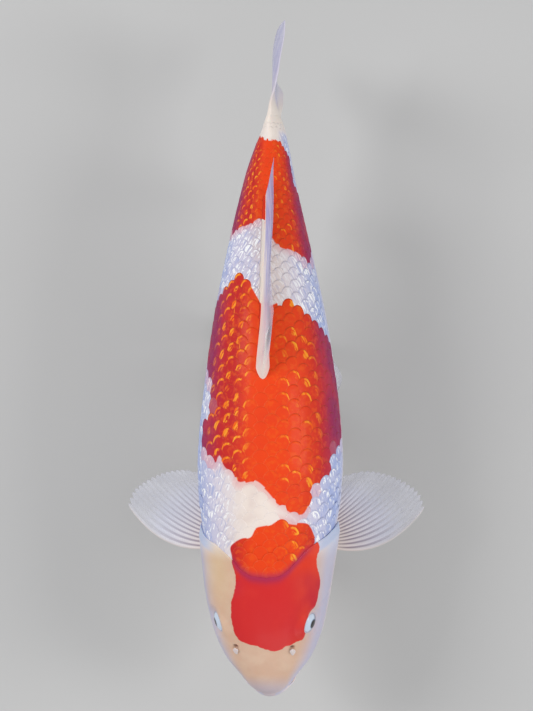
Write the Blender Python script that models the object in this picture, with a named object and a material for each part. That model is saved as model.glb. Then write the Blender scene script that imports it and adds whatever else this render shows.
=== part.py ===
"""Koi carp of the kohaku variety: a life-size still model on a plain display stand.

Metres, +Z up. The head points to -Y, and the origin is the middle of the underside of the stand's
base. The functions below work in millimetres and in the fish's own terms: x is across the body, a
station is the distance behind the tip of the snout, and a height is measured from the body's axis.
bodily() turns these into metres in the model's frame, with the fish's roll and the sway of its tail.
"""

import math

import bmesh
import bpy
from mathutils import Vector

# Driving dimensions, in millimetres
FLESH_LENGTH = 532.0  # snout to the root of the tail fin
LOBE_HEIGHT = 72.0  # the tips of the tail fin above and below the axis
AXIS_HEIGHT = 150.0  # the body's axis above the floor
ORIGIN_STATION = 240.0  # under the centre of mass
ROLL = math.radians(6.5)  # the back leans to -X
GAP = 0.35  # left between pieces that meet

NAPE_STATION = 107.0  # the head's rear border on the midline
NAPE_CURVE = 0.0132  # how fast that border runs back towards the flanks
TRUNK_MIDDLE = 292.0  # the trunk is parted here, where the dorsal fin starts
TRUNK_END = 430.0  # where the tail stalk starts

EYE_RADIUS = 14.5  # of the ball, most of which is inside the head
EYE_CENTRE = (32.0, 75.4, 25.9)

BASE_LENGTH = 300.0
BASE_WIDTH = 100.0
BASE_THICKNESS = 12.0
ROD_RADIUS = 4.5
ROD_STATIONS = {"front": 166.0, "rear": 330.0}

# Mesh density
AROUND = 26
RINGS = 34


def profile(*knots):
    """A smooth function of the station through (station, value) knots. Its slope never overshoots,
    and it is drawn over the square root of the station, which makes the snout round."""
    xs = [math.sqrt(station) for station, _ in knots]
    ys = [value for _, value in knots]
    steps = [(y1 - y0) / (x1 - x0) for x0, x1, y0, y1 in zip(xs, xs[1:], ys, ys[1:])]
    slopes = [steps[0]]
    for before, after in zip(steps, steps[1:]):
        slopes.append(2 * before * after / (before + after) if before * after > 0 else 0.0)
    slopes.append(steps[-1])

    def value(station):
        x = min(max(math.sqrt(max(station, 0.0)), xs[0]), xs[-1])
        i = max(k for k in range(len(xs) - 1) if xs[k] <= x)
        width = xs[i + 1] - xs[i]
        t = (x - xs[i]) / width
        start = ys[i] * (1 + 2 * t) * (1 - t) ** 2 + slopes[i] * width * t * (1 - t) ** 2
        end = ys[i + 1] * t * t * (3 - 2 * t) + slopes[i + 1] * width * t * t * (t - 1)
        return start + end

    return value


half_width = profile(
    (0, 0), (6, 15.2), (20, 26.8), (38, 40), (66, 50.6), (94, 55.6), (125, 58.4), (160, 61.2),
    (185, 65.4), (212, 67.3), (240, 66), (292, 60.3), (347, 52), (402, 40.8), (457, 28.3),
    (503, 16.5), (520, 9.5), (532, 4.5),
)
top_height = profile(
    (0, -12), (5, 2), (16, 13), (38, 28), (66, 44), (107, 61), (160, 74.5), (200, 80), (240, 82),
    (292, 80.5), (347, 73), (402, 60), (457, 45), (495, 36), (520, 33), (532, 33),
)
belly_height = profile(
    (0, -12), (5, -24), (18, -33), (38, -41), (66, -49), (107, -58), (160, -66), (200, -69.5),
    (240, -71), (292, -69), (347, -61.5), (402, -50), (457, -36), (495, -30), (520, -29), (532, -29),
)
widest_height = profile((0, -12), (66, -10), (125, -7), (200, -4), (300, 0), (532, 2))
back_squareness = profile((0, 2.2), (38, 2.6), (80, 2.7), (125, 2.3), (200, 2.15), (532, 2.1))
BELLY_SQUARENESS = 2.15
sway = profile(
    (0, -1), (94, -1.6), (180, 0.3), (290, 1.3), (440, 0.2), (475, 0.7), (503, 2.8), (525, 5),
    (545, 5), (565, 4), (605, 3),
)
tail_lean = profile(
    (0, 0), (490, 0), (521, -0.17), (537, -0.03), (554, 0.2), (566, 0.26), (578, 0.27),
    (592, 0.28), (606, 0.26),
)
lower_lean = profile((0, 0), (526, 0), (546, 0.3), (558, 0.1), (572, -0.09), (606, -0.08))
cover_swell = profile((0, 0), (75, 0.5), (110, 2.0), (140, 3.6), (156, 4.3), (200, 4.3))


def world(x, station, height):
    """The point in metres, in the model's frame."""
    return Vector((x, station - ORIGIN_STATION, height + AXIS_HEIGHT)) / 1000


def bodily(point):
    """A point of the fish, with its roll, its sway and the bent lobes of its tail fin."""
    x, station, height = point
    across = x * math.cos(ROLL) - height * math.sin(ROLL)
    up = height * math.cos(ROLL) + x * math.sin(ROLL)
    bend = tail_lean(station) if height > 0 else lower_lean(station)
    lean = bend * height**2 / LOBE_HEIGHT
    return world(across + sway(station) + lean, station, up)


def section(station, angle):
    """(x, station, height) of the skin at an angle: 0 on the +X flank and 90 degrees on the back."""
    across, up = math.cos(angle), math.sin(angle)
    power = 2 / (back_squareness(station) if up > 0 else BELLY_SQUARENESS)
    crest = top_height(station) if up > 0 else belly_height(station)
    level = widest_height(station)
    x = half_width(station) * math.copysign(abs(across) ** power, across)
    return x, station, level + (crest - level) * abs(up) ** power


def proud(station, angle, by):
    """The skin's point moved out by some millimetres, square to the skin."""
    here = Vector(section(station, angle))
    step = 0.5
    along = Vector(section(station + step, angle)) - Vector(section(max(station - step, 0.0), angle))
    around = Vector(section(station, angle + 0.02)) - Vector(section(station, angle - 0.02))
    return here + along.cross(around).normalized() * by


def smooth_step(low, high, value):
    t = min(max((value - low) / (high - low), 0.0), 1.0)
    return t * t * (3 - 2 * t)


def along_curve(points, u):
    """A point on the smooth curve through a few points, evenly spaced in u."""
    place = min(max(u, 0.0), 1.0) * (len(points) - 1)
    i = min(int(place), len(points) - 2)
    t = place - i
    p0, p1, p2, p3 = (Vector(points[min(max(i + k, 0), len(points) - 1)]) for k in (-1, 0, 1, 2))
    return (
        p1
        + (p2 - p0) * t / 2
        + (2 * p0 - 5 * p1 + 4 * p2 - p3) * t * t / 2
        + (3 * p1 - p0 - 3 * p2 + p3) * t**3 / 2
    )


# ---- making objects ----


def finish(name, colour, roughness, metallic=0.0):
    """A material with a Principled shader."""
    made = bpy.data.materials.new(name)
    made.use_nodes = True
    shader = made.node_tree.nodes["Principled BSDF"]
    shader.inputs["Base Color"].default_value = (*colour, 1.0)
    shader.inputs["Roughness"].default_value = roughness
    shader.inputs["Metallic"].default_value = metallic
    return made


def add_object(name, work, material=None):
    """An object from a bmesh, its faces turned outwards. Without a material it is a cutter."""
    bmesh.ops.recalc_face_normals(work, faces=work.faces)
    mesh = bpy.data.meshes.new(name)
    work.to_mesh(mesh)
    work.free()
    made = bpy.data.objects.new(name, mesh)
    bpy.context.scene.collection.objects.link(made)
    if material is None:
        made.hide_render = True
        made.display_type = "WIRE"
    else:
        mesh.materials.append(material)
        mesh.shade_smooth()
    return made


def loft(name, rings, material=None, nose=None):
    """A closed solid through rings of equally many points. It ends in flat caps, or in a nose."""
    work = bmesh.new()
    circles = [[work.verts.new(point) for point in ring] for ring in rings]
    for one, two in zip(circles, circles[1:]):
        for i in range(len(one)):
            work.faces.new((one[i], one[i - 1], two[i - 1], two[i]))
    if nose is None:
        work.faces.new(circles[0])
    else:
        tip = work.verts.new(nose)
        for i in range(len(circles[0])):
            work.faces.new((circles[0][i], circles[0][i - 1], tip))
    work.faces.new(circles[-1])
    return add_object(name, work, material)


def plate(name, middle, facing, thickness, across, along, material, start=0.0):
    """A thin solid about the surface middle(u, v), with u from 0 to 1 across the rays and v from
    start, inside the body, to 1 at the tips. It is thick in the direction facing."""
    facing = Vector(facing).normalized()
    work = bmesh.new()
    grids = []
    for sign in (0.5, -0.5):
        grid = []
        for i in range(across + 1):
            column = []
            for j in range(along + 1):
                u, v = i / across, start + (1 - start) * j / along
                point = Vector(middle(u, v)) + facing * thickness(u, v) * sign
                column.append(work.verts.new(bodily(point)))
            grid.append(column)
        for one, two in zip(grid, grid[1:]):
            for j in range(along):
                work.faces.new((one[j], one[j + 1], two[j + 1], two[j]))
        grids.append(grid)
    rims = []
    for grid in grids:
        rims.append(grid[0] + [column[-1] for column in grid[1:]] + grid[-1][-2::-1]
                    + [column[0] for column in grid[-2:0:-1]])
    near, far = rims
    for i in range(len(near)):
        work.faces.new((near[i], near[i - 1], far[i - 1], far[i]))
    return add_object(name, work, material)


def tube(name, line, radius, sides, material):
    """A solid tube along some points, in metres. radius(t) is in metres, with t from 0 to 1."""
    last = len(line) - 1
    rings = []
    for k, here in enumerate(line):
        tangent = (line[min(k + 1, last)] - line[max(k - 1, 0)]).normalized()
        across = tangent.cross(Vector((0.2, 1, 0.1))).normalized()
        up = across.cross(tangent)
        reach = radius(k / last)
        turns = [2 * math.pi * i / sides for i in range(sides)]
        rings.append([here + (across * math.cos(a) + up * math.sin(a)) * reach for a in turns])
    return loft(name, rings, material)


def block(name, outline, along_x, low, high):
    """A cutter: an outline of (a, b) pairs, extruded along X or, with the heights, along Z."""
    rings = []
    for reach in (low, high):
        if along_x:
            rings.append([bodily((reach, a, b)) for a, b in outline])
        else:
            rings.append([bodily((a, b, reach)) for a, b in outline])
    return loft(name, rings)


def ball(name, centre, radius, material=None):
    work = bmesh.new()
    bmesh.ops.create_uvsphere(work, u_segments=16, v_segments=9, radius=radius / 1000)
    made = add_object(name, work, material)
    made.location = bodily(centre)
    return made


def boolean(made, operation, other):
    modifier = made.modifiers.new(operation.lower() + "_" + other.name, "BOOLEAN")
    modifier.operation = operation
    modifier.object = other


# ---- the body: one closed shape, parted by thin cuts ----


def whole_body(name, material=None, by=0.0):
    """The body's skin, moved out by some millimetres. Its rings lie closer near the snout."""
    rings = []
    for k in range(1, RINGS + 1):
        station = FLESH_LENGTH * (k / RINGS) ** 1.35
        rings.append([bodily(proud(station, 2 * math.pi * i / AROUND, by)) for i in range(AROUND)])
    if by:
        rings.append([point + Vector((0, by / 1000, 0)) for point in rings[-1]])
    return loft(name, rings, material, nose=bodily((0.0, -by, top_height(0))))


def nape_border(x):
    return NAPE_STATION + NAPE_CURVE * x * x


def make_regions():
    """Blocks that part the whole body. The head's border is a U that opens towards the tail."""
    reach, tall = 90.0, 140.0
    steps = 14
    xs = [reach * (2 * i / steps - 1) for i in range(steps + 1)]
    head = [(-reach, -20.0)] + [(x, nape_border(x)) for x in xs] + [(reach, -20.0)]
    shoulder_edge = [(x, nape_border(x) + GAP) for x in xs]
    shoulder = shoulder_edge + [(reach, TRUNK_MIDDLE), (-reach, TRUNK_MIDDLE)]
    outlines = {"head": head, "trunk_front": shoulder}
    for name, low, high in (("trunk_rear", TRUNK_MIDDLE, TRUNK_END), ("tail_stalk", TRUNK_END, 600.0)):
        outlines[name] = [(-reach, low + GAP), (reach, low + GAP), (reach, high), (-reach, high)]
    regions = {n: block("region_" + n, line, False, -tall, tall) for n, line in outlines.items()}
    jaw = [(-9.0, -15.0), (37.0, -29.5), (34.0, -90.0), (-9.0, -90.0)]
    jaw_room = [(-9.0, -15.0 + GAP), (37.0 + GAP, -29.5 + GAP), (34.0 + GAP, -91.0), (-9.0, -91.0)]
    regions["lower_jaw"] = block("region_lower_jaw", jaw, True, -70, 70)
    return regions, block("region_jaw_room", jaw_room, True, -71, 71)


def cover_point(side, radius, turn, lift):
    """A point of a gill cover, in polar steps about its middle. lift is square to the skin."""
    low = max(-math.sin(turn), 0.0)
    station = 117 + 39 * radius * (1 + 0.08 * math.cos(2 * turn)) * math.cos(turn)
    station -= 15 * radius * low**1.5
    reach = 47 - 5 * low
    angle = math.radians(-8 + reach * radius * math.sin(turn) - 6 * radius * math.cos(turn))
    if side < 0:
        angle = math.pi - angle
    return proud(station, angle, lift + cover_swell(station) if lift >= 0 else lift)


def gill_cover(name, side, material=None, room=0.0):
    """A bony plate in the skin over the gills. With room it is the cutter for its seat."""
    turns, circles = 24, 4
    outward, inward = 6.0 * bool(room), -1.2 - 2 * room
    spread = 1 + room / 40
    rings = []
    for lift, order in ((outward, range(1, circles + 1)), (inward, range(circles, 0, -1))):
        for k in order:
            radius = spread * k / circles
            ring = [cover_point(side, radius, 2 * math.pi * i / turns, lift) for i in range(turns)]
            rings.append([bodily(point) for point in ring])
    return loft(name, rings, material)


def make_body(white, cover_white, dark):
    """The lengths of the body, the lower jaw, the gill covers and the eyes."""
    regions, jaw_room = make_regions()
    pieces = {}
    for name, region in regions.items():
        pieces[name] = whole_body(name, white)
        boolean(pieces[name], "INTERSECT", region)
    head = pieces["head"]
    boolean(head, "DIFFERENCE", jaw_room)
    covers = {}
    for side, word in ((1, "left"), (-1, "right")):
        gill_cover("gill_cover_" + word, side, cover_white)
        covers[side] = gill_cover("room_gill_cover_" + word, side, room=GAP)
        boolean(head, "DIFFERENCE", covers[side])
        boolean(pieces["trunk_front"], "DIFFERENCE", covers[side])
        centre = (side * EYE_CENTRE[0], EYE_CENTRE[1], EYE_CENTRE[2])
        ball("eye_" + word, centre, EYE_RADIUS, dark)
        boolean(head, "DIFFERENCE", ball("socket_" + word, centre, EYE_RADIUS + GAP))
    return covers


# ---- the fins: thin plates whose roots are cut to the skin ----


def bowed(root, tip, bow, v, outward=(0, 0, 0)):
    """A point of a fin ray from root to tip that bends towards bow. Below v = 0 it is in the flesh,
    where the ray leaves along outward."""
    root, tip = Vector(root), Vector(tip)
    control = (root + tip) / 2 + Vector(bow)
    if v < 0:
        return root + Vector(outward) * v
    return root * (1 - v) ** 2 + control * 2 * v * (1 - v) + tip * v * v


def pectoral(side):
    tips = [(142, 166, -72), (137, 180, -72), (127, 189, -71), (114, 196, -69), (100, 200.5, -67),
            (85, 202, -64), (66, 198, -62)]

    def middle(u, v):
        root = Vector((45 - 5 * u, 133 + 25 * u, -53 - 5 * u))
        bow = Vector((7.5, -36.5, 3)) * (1 - u) ** 1.6
        x, station, height = bowed(root, along_curve(tips, u), bow, v, (80, 0, -20))
        return side * x - 3 * max(v, 0.0), station, height

    return middle


def pelvic(side):
    tips = [(58, 283, -85), (59, 291, -87), (55, 301, -88), (48, 310, -88), (37, 315, -86)]

    def middle(u, v):
        root = Vector((21 + 5 * u, 244 + 17 * u, -67))
        bow = Vector((6, -7, -2)) * (1 - u) ** 1.5
        x, station, height = bowed(root, along_curve(tips, u), bow, v, (20, 40, -50))
        return side * x, station, height

    return middle


def dorsal(u, v):
    """The front ray stands up. The others lie back more and more, and lean to +X. The root is a
    little to the +X side of the ridge."""
    station = 292.5 + 165.5 * u
    length = 51 - 15 * smooth_step(0.0, 0.45, u) - 5 * smooth_step(0.5, 1.0, u)
    swept = math.radians(42 + 36 * smooth_step(0.0, 1.0, u) + 6 * v)
    lean = math.radians(24 * smooth_step(0.0, 0.16, u))
    out = length * v
    root = 1.8 + 0.6 * smooth_step(0.0, 0.5, u)
    x = root + out * math.cos(swept) * math.sin(lean) + 4.5 * v * smooth_step(0.5, 1.0, u)
    height = top_height(station) - 0.5 + out * math.cos(swept) * math.cos(lean)
    return x, station + out * math.sin(swept), height


def anal(u, v):
    station = 416 + 32 * u
    swept = math.radians(46 + 14 * u + 8 * v)
    out = (54 - 27 * u) * v
    return 0.0, station + out * math.sin(swept), belly_height(station) + 0.5 - out * math.cos(swept)


def caudal(sign):
    """One lobe of the tail fin. sign is 1 above and -1 below."""
    tips = [(0, 606, LOBE_HEIGHT), (0, 604.5, 62), (0, 599, 46), (0, 587, 26), (0, 573, 9),
            (0, 569, 3.5)]
    shorter = 0.0 if sign > 0 else 4.0

    def middle(u, v):
        root_height = (32.0 if sign > 0 else 28.0) * (1 - u) + 0.4
        tip = along_curve(tips, u) - Vector((0, shorter * (1 - u), 0))
        bow = Vector((0, 4, 4)) * (1 - u)
        _, station, height = bowed((0, FLESH_LENGTH + GAP, root_height), tip, bow, v)
        return 0.0, station, sign * height

    return middle


def tapering(root, flesh=0.16, folded=0.0):
    """A thickness that falls quickly over the fleshy root and slowly from there to the edge. The
    front of a folded fin is thicker."""
    web, edge = 2.2, 0.8

    def thickness(u, v):
        fleshy = (root - web) * (1 - smooth_step(-0.05, flesh, v))
        bundle = folded * (1 - smooth_step(0.02, 0.3, u)) * (1 - max(v, 0.0) ** 3)
        return fleshy + bundle + web + (edge - web) * max(v, 0.0) ** 0.7

    return thickness


def make_fins(material, skin_room, covers):
    upright = (1, 0, 0)
    fins = [
        plate("dorsal_fin", dorsal, upright, tapering(4.5, 0.3, 8.0), 18, 5, material, -0.14),
        plate("anal_fin", anal, upright, tapering(5.0), 7, 5, material, -0.16),
    ]
    thin = tapering(5.5)
    for side, word in ((1, "left"), (-1, "right")):
        level = (side * 0.27, 0, 1)
        fin = plate("pectoral_fin_" + word, pectoral(side), level, thin, 14, 8, material, -0.09)
        boolean(fin, "DIFFERENCE", covers[side])
        fins.append(fin)
        level = (side * 0.25, 0.3, 1)
        fins.append(plate("pelvic_fin_" + word, pelvic(side), level, thin, 8, 6, material, -0.12))
    for fin in fins:
        boolean(fin, "DIFFERENCE", skin_room)
    for sign, word in ((1, "upper"), (-1, "lower")):
        plate("tail_fin_" + word, caudal(sign), upright, tapering(6.0, 0.3), 11, 8, material)


# ---- lips, barbels and the display stand ----


def lip_line(rise):
    """Points round the mouth from corner to corner, lifted by some millimetres."""
    steps = 10
    line = []
    for k in range(steps + 1):
        t = 2 * k / steps - 1
        angle = math.radians(-28) if t > 0 else math.radians(208)
        x, station, height = section(14 * abs(t) ** 1.7, angle)
        line.append(bodily((x, station, height + rise)))
    return line


def make_mouth(material, skin_room):
    """Two lips and two pairs of barbels, cut to the skin at their roots."""
    pieces = []
    for word, rise, fullness in (("upper", 3.4, 3.3), ("lower", -3.8, 3.1)):
        swell = lambda t, r=fullness: r * (0.55 + 0.45 * math.sin(math.pi * t)) / 1000
        pieces.append(tube("lip_" + word, lip_line(rise), swell, 8, material))
    rear = [(22.5, 19.2, -15.5), (26.3, 20.3, -20), (26.2, 23, -27), (25.5, 27, -35), (23.5, 31, -42)]
    front = [(15.5, 9.4, -8.5), (19.4, 9.8, -10), (21.2, 11.4, -12.3), (22.6, 13.8, -14.8),
             (23.3, 16.4, -17)]
    for side, word in ((1, "left"), (-1, "right")):
        for kind, points, radius in (("rear", rear, 1.9), ("front", front, 1.3)):
            mirrored = [(side * x, station, height) for x, station, height in points]
            line = [bodily(along_curve(mirrored, k / 8)) for k in range(9)]
            taper = lambda t, r=radius: r * (1 - 0.62 * t) / 1000
            pieces.append(tube("barbel_" + kind + "_" + word, line, taper, 8, material))
    for piece in pieces:
        boolean(piece, "DIFFERENCE", skin_room)


def make_stand(board, metal, skin_room):
    """An oblong plate with a rounded rim, and two rods up to the belly."""
    work = bmesh.new()
    bmesh.ops.create_cone(
        work, segments=28, cap_ends=True, radius1=1, radius2=1, depth=BASE_THICKNESS / 1000
    )
    for vert in work.verts:
        across, along = vert.co.x, vert.co.y
        vert.co.x = BASE_WIDTH / 2000 * math.copysign(abs(across) ** 0.8, across)
        vert.co.y = BASE_LENGTH / 2000 * math.copysign(abs(along) ** 0.8, along)
        vert.co.z += BASE_THICKNESS / 2000
    base = add_object("stand_base", work, board)
    rim = base.modifiers.new("rim", "BEVEL")
    rim.width = 0.002
    rim.segments = 2
    rim.limit_method = "ANGLE"
    rim.angle_limit = math.radians(60)
    for word, station in ROD_STATIONS.items():
        foot = world(0, station, BASE_THICKNESS + GAP - AXIS_HEIGHT)
        head = world(0, station, belly_height(station) + 8)
        rod = tube("stand_rod_" + word, [foot, head], lambda t: ROD_RADIUS / 1000, 16, metal)
        boolean(rod, "DIFFERENCE", skin_room)


def main():
    for old in list(bpy.data.objects):
        bpy.data.objects.remove(old)
    white = finish("white_skin", (0.85, 0.80, 0.80), 0.35)
    cover_white = finish("gill_cover_skin", (0.80, 0.72, 0.68), 0.3)
    fin_white = finish("fin_membrane", (0.82, 0.80, 0.82), 0.4)
    dark = finish("eye", (0.03, 0.03, 0.04), 0.08)
    board = finish("stand_board", (0.10, 0.055, 0.03), 0.5)
    metal = finish("stand_metal", (0.62, 0.62, 0.64), 0.3, 1.0)
    skin_room = whole_body("skin_room", by=GAP)
    covers = make_body(white, cover_white, dark)
    make_fins(fin_white, skin_room, covers)
    make_mouth(white, skin_room)
    make_stand(board, metal, skin_room)


main()
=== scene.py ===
"""Looks of a life-size kohaku koi carp on its display stand: skin, scales, fins, eyes and finishes.

The shapes are worked out in the fish's own terms, in millimetres: x across the body (its left side
is +x), a station along it from the tip of the snout, and a height above the body's axis. A turn is
the angle round the body from the ridge of the back, positive down the left side. A share is the way
round in half girths: 0 on the ridge, 1 or -1 on the belly. in_world() turns points into metres.
"""

import math

import bpy
import numpy as np
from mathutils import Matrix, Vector

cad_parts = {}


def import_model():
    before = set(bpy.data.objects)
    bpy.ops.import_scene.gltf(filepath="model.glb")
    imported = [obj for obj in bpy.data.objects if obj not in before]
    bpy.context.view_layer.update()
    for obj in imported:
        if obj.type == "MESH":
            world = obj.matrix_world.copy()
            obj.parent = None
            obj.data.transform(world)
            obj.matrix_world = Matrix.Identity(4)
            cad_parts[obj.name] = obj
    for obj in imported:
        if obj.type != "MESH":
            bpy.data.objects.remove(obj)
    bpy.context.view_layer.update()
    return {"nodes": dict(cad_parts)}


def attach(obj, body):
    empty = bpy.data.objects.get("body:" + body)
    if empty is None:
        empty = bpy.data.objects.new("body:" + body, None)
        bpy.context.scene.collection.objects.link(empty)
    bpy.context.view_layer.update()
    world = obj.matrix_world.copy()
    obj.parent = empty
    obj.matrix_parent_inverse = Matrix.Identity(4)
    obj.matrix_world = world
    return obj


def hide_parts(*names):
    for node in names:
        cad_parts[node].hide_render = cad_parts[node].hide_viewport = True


# ---- driving sizes, as in the CAD model, in millimetres ----

FLESH_LENGTH = 532.0  # snout to the root of the tail fin
LOBE_HEIGHT = 72.0
AXIS_HEIGHT = 150.0
ORIGIN_STATION = 240.0
ROLL = math.radians(6.5)  # the back leans to -X

COAT_DEPTH = 1.7  # the skin lies this far inside the solids under the scales
ROWS_A_SIDE = 18  # rows of scales from the ridge to the belly
LATERAL_ROW = 9
EYE_CENTRE = np.array((32.0, 75.4, 25.9))  # of the eyeball
EYE_AXIS = np.array((0.860, -0.263, 0.438))
EYE_BALL = 14.0
EYE_OPENING = 9.2  # half the length of the opening, which is a little lower than it is long
EYE_SQUASH = 0.88
PUPIL_DROP = 0.2  # how far the pupil is below the middle, as a share of the opening
NOSTRIL = (50.0, 26.0)  # station, girth distance
FIN_GAP = 0.35  # from the end of the flesh to the roots of the tail fin's rays
FIN_SOCKET = 3.0  # the skin's last rings run this far into the tail fin's root
HEAD_END = 172.0  # the lips, the cheek lines and the eye seats lie before this station
NOT_RED = -99.0  # a distance outside every red patch


def profile(*knots):
    """A smooth function of the station through (station, value) knots. Its slope never overshoots,
    and it is drawn over the square root of the station, which makes the snout round."""
    xs = np.sqrt([float(station) for station, _ in knots])
    ys = np.array([float(value) for _, value in knots])
    steps = np.diff(ys) / np.diff(xs)
    inner = [2 * a * b / (a + b) if a * b > 0 else 0.0 for a, b in zip(steps, steps[1:])]
    slopes = np.array([steps[0], *inner, steps[-1]])

    def value(station):
        x = np.clip(np.sqrt(np.maximum(station, 0.0)), xs[0], xs[-1])
        i = np.clip(np.searchsorted(xs, x, side="right") - 1, 0, len(xs) - 2)
        width = xs[i + 1] - xs[i]
        t = (x - xs[i]) / width
        start = ys[i] * (1 + 2 * t) * (1 - t) ** 2 + slopes[i] * width * t * (1 - t) ** 2
        end = ys[i + 1] * t * t * (3 - 2 * t) + slopes[i + 1] * width * t * t * (t - 1)
        return start + end

    return value


half_width = profile(
    (0, 0), (6, 15.2), (20, 26.8), (38, 40), (66, 50.6), (94, 55.6), (125, 58.4), (160, 61.2),
    (185, 65.4), (212, 67.3), (240, 66), (292, 60.3), (347, 52), (402, 40.8), (457, 28.3),
    (503, 16.5), (520, 9.5), (532, 4.5),
)
top_height = profile(
    (0, -12), (5, 2), (16, 13), (38, 28), (66, 44), (107, 61), (160, 74.5), (200, 80), (240, 82),
    (292, 80.5), (347, 73), (402, 60), (457, 45), (495, 36), (520, 33), (532, 33),
)
belly_height = profile(
    (0, -12), (5, -24), (18, -33), (38, -41), (66, -49), (107, -58), (160, -66), (200, -69.5),
    (240, -71), (292, -69), (347, -61.5), (402, -50), (457, -36), (495, -30), (520, -29), (532, -29),
)
widest_height = profile((0, -12), (66, -10), (125, -7), (200, -4), (300, 0), (532, 2))
back_squareness = profile((0, 2.2), (38, 2.6), (80, 2.7), (125, 2.3), (200, 2.15), (532, 2.1))
BELLY_SQUARENESS = 2.15
sway = profile(
    (0, -1), (94, -1.6), (180, 0.3), (290, 1.3), (440, 0.2), (475, 0.7), (503, 2.8), (525, 5),
    (545, 5), (565, 4), (605, 3),
)
tail_lean = profile(
    (0, 0), (490, 0), (521, -0.17), (537, -0.03), (554, 0.2), (566, 0.26), (578, 0.27),
    (592, 0.28), (606, 0.26),
)
lower_lean = profile((0, 0), (526, 0), (546, 0.12), (558, 0.1), (572, -0.09), (606, -0.08))
cover_swell = profile((0, 0), (75, 0.5), (110, 2.0), (140, 3.6), (156, 4.3), (200, 4.3))
scale_pitch = profile((0, 12.2), (120, 12.2), (330, 12.6), (430, 9.2), (500, 8.0), (532, 8.0))


def smooth(low, high, value):
    """0 up to low, 1 from high on, and a smooth step between them."""
    t = np.clip((value - low) / (high - low), 0.0, 1.0)
    return t * t * (3 - 2 * t)


def lerp(a, b, t):
    return a + (b - a) * t


def surface(station, turn):
    """The body's outer form, as (x, station, height)."""
    across, up = np.sin(turn), np.cos(turn)
    power = 2 / np.where(up > 0, back_squareness(station), BELLY_SQUARENESS)
    crest = np.where(up > 0, top_height(station), belly_height(station))
    level = widest_height(station)
    x = half_width(station) * np.sign(across) * np.abs(across) ** power
    height = level + (crest - level) * np.abs(up) ** power
    return np.stack([x, station + 0 * x, height], axis=-1)


def outward(station, turn):
    """The unit vector square to the body's form."""
    before = surface(np.maximum(station - 0.5, 0.02), turn)
    along = surface(station + 0.5, turn) - before
    around = surface(station, turn + 0.012) - surface(station, turn - 0.012)
    normal = np.cross(around, along)
    return normal / np.maximum(np.linalg.norm(normal, axis=-1, keepdims=True), 1e-9)


def in_world(points):
    """Metres in the model's frame, with the roll, the sway and the bent lobes of the tail fin."""
    x, station, height = points[..., 0], points[..., 1], points[..., 2]
    across = x * math.cos(ROLL) - height * math.sin(ROLL)
    up = height * math.cos(ROLL) + x * math.sin(ROLL)
    lean = np.where(height > 0, tail_lean(station), lower_lean(station)) * height**2 / LOBE_HEIGHT
    placed = [across + sway(station) + lean, station - ORIGIN_STATION, up + AXIS_HEIGHT]
    return np.stack(placed, axis=-1) / 1000


def spline(points, u, closed=False):
    """Points on the smooth curve through a few points, evenly spaced in u from 0 to 1."""
    points = np.asarray(points, dtype=float)
    count = len(points)
    spans = count if closed else count - 1
    place = np.clip(np.asarray(u, dtype=float), 0.0, 1.0) * spans
    i = np.minimum(place.astype(int), spans - 1)
    t = (place - i)[..., None]

    def knot(k):
        return points[(i + k) % count if closed else np.clip(i + k, 0, count - 1)]

    p0, p1, p2, p3 = knot(-1), knot(0), knot(1), knot(2)
    bend = (2 * p0 - 5 * p1 + 4 * p2 - p3) * t**2 + (3 * p1 - p0 - 3 * p2 + p3) * t**3
    return p1 + (p2 - p0) * t / 2 + bend / 2


# ---- the skin unrolled: distances round the body ----

GIRTH_STATIONS = np.concatenate([np.linspace(0.1, 20, 40), np.arange(22, FLESH_LENGTH + 1, 2.0)])
GIRTH_TURNS = np.linspace(0, math.pi, 541)
SHARES = np.linspace(0, 1, 361)


def girth_tables():
    """Half the girth at every station, and the turns at even shares of it."""
    station, turn = np.meshgrid(GIRTH_STATIONS, GIRTH_TURNS, indexing="ij")
    line = surface(station, turn)[..., [0, 2]]
    steps = np.linalg.norm(np.diff(line, axis=1), axis=-1)
    length = np.concatenate([np.zeros((len(steps), 1)), np.cumsum(steps, axis=1)], axis=1)
    turns = [np.interp(SHARES * row[-1], row, GIRTH_TURNS) for row in length]
    return length[:, -1], np.array(turns)


HALF_GIRTHS, SHARE_TURNS = girth_tables()


def half_girth(station):
    return np.interp(station, GIRTH_STATIONS, HALF_GIRTHS)


def lookup(table, rows, columns, row, column):
    """Values of a table between its rows and columns."""
    i = np.clip(np.searchsorted(rows, row) - 1, 0, len(rows) - 2)
    j = np.clip(np.searchsorted(columns, column) - 1, 0, len(columns) - 2)
    s = np.clip((row - rows[i]) / (rows[i + 1] - rows[i]), 0, 1)
    t = np.clip((column - columns[j]) / (columns[j + 1] - columns[j]), 0, 1)
    near = table[i, j] * (1 - t) + table[i, j + 1] * t
    far = table[i + 1, j] * (1 - t) + table[i + 1, j + 1] * t
    return near * (1 - s) + far * s


def turn_at(station, share):
    """The turn at a share of the half girth."""
    wrapped = (share + 1) % 2 - 1
    turn = lookup(SHARE_TURNS, GIRTH_STATIONS, SHARES, station, np.abs(wrapped))
    return np.where(wrapped < 0, -turn, turn)


# ---- the markings: three red patches, as outlines of (girth distance, station) ----

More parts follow.
